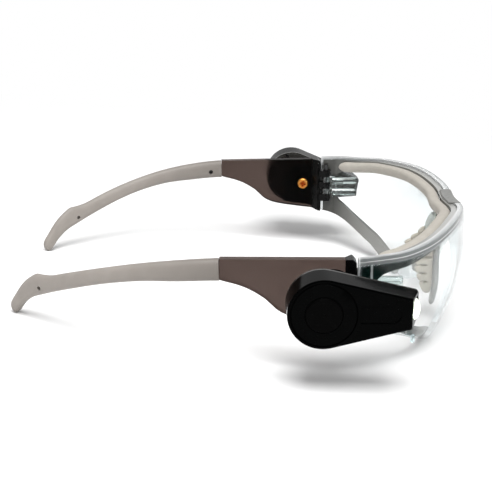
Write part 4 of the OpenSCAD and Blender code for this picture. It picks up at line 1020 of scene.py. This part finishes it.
def table_sweep(width=6.0, front=-2.2, back=2.6, rise=2.6, bend=0.9):
    """Table that curves up behind the glasses: flat, a quarter circle, then upright."""
    t = np.linspace(0, math.pi / 2, 24)
    y = np.concatenate([[front], back + bend * np.sin(t), [back + bend]])
    z = np.concatenate([[0], bend * (1 - np.cos(t)), [rise]])
    line = np.stack([0 * y, y, z], -1)
    grid = np.stack([line - [width, 0, 0], line + [width, 0, 0]], 1)
    mesh = bpy.data.meshes.new("table")
    mesh.from_pydata(grid.reshape(-1, 3).tolist(), [], grid_faces(len(y), 2))
    mesh.shade_smooth()
    mesh.materials.append(table_finish())
    obj = bpy.data.objects.new("table", mesh)
    bpy.context.scene.collection.objects.link(obj)


table_sweep()

LAMP_PLACE = Vector((0.0, -0.38, 0.92))
lamp_data = bpy.data.lights.new("overhead", "AREA")
lamp_data.shape = "RECTANGLE"
lamp_data.size = 0.66
lamp_data.size_y = 0.55
lamp_data.energy = 11.5
lamp = bpy.data.objects.new("overhead", lamp_data)
lamp.location = LAMP_PLACE
lamp.rotation_euler = (-LAMP_PLACE).to_track_quat("-Z", "Y").to_euler()
bpy.context.scene.collection.objects.link(lamp)

world = bpy.data.worlds.new("studio")
bpy.context.scene.world = world
world.use_nodes = True
tree = world.node_tree
light = tree.nodes["Background"]
light.inputs["Color"].default_value = (1, 1, 1, 1)
light.inputs["Strength"].default_value = 0.56
seen = tree.nodes.new("ShaderNodeBackground")
seen.inputs["Color"].default_value = (1, 1, 1, 1)
mix = tree.nodes.new("ShaderNodeMixShader")
rays = tree.nodes.new("ShaderNodeLightPath")
tree.links.new(rays.outputs["Is Camera Ray"], mix.inputs["Fac"])
tree.links.new(light.outputs["Background"], mix.inputs[1])
tree.links.new(seen.outputs["Background"], mix.inputs[2])
tree.links.new(mix.outputs["Shader"], tree.nodes["World Output"].inputs["Surface"])

# The camera's angles are in degrees, its distance and focal length in millimetres

AZIMUTH, ELEVATION, ROLL, DISTANCE, FOCAL = -0.891, 18.071, -0.178, 402.543, 76.83
a, e, r = (math.radians(v) for v in (AZIMUTH, ELEVATION, ROLL))
away = np.array([math.sin(a) * math.cos(e), -math.cos(a) * math.cos(e), math.sin(e)])
across = np.array([math.cos(a), math.sin(a), 0])
upward = np.cross(away, across)
across, upward = (math.cos(r) * across + math.sin(r) * upward, -math.sin(r) * across + math.cos(r) * upward)
camera_data = bpy.data.cameras.new("camera")
camera_data.lens = FOCAL
camera_data.sensor_width = 36
camera_data.clip_start = 0.01
camera = bpy.data.objects.new("camera", camera_data)
turned = np.stack([TURN @ across, TURN @ upward, TURN @ away], -1)
matrix = np.eye(4)
matrix[:3, :3] = turned
matrix[:3, 3] = on_table(DISTANCE * away)
camera.matrix_world = Matrix(matrix.tolist())
bpy.context.scene.collection.objects.link(camera)
bpy.context.scene.camera = camera
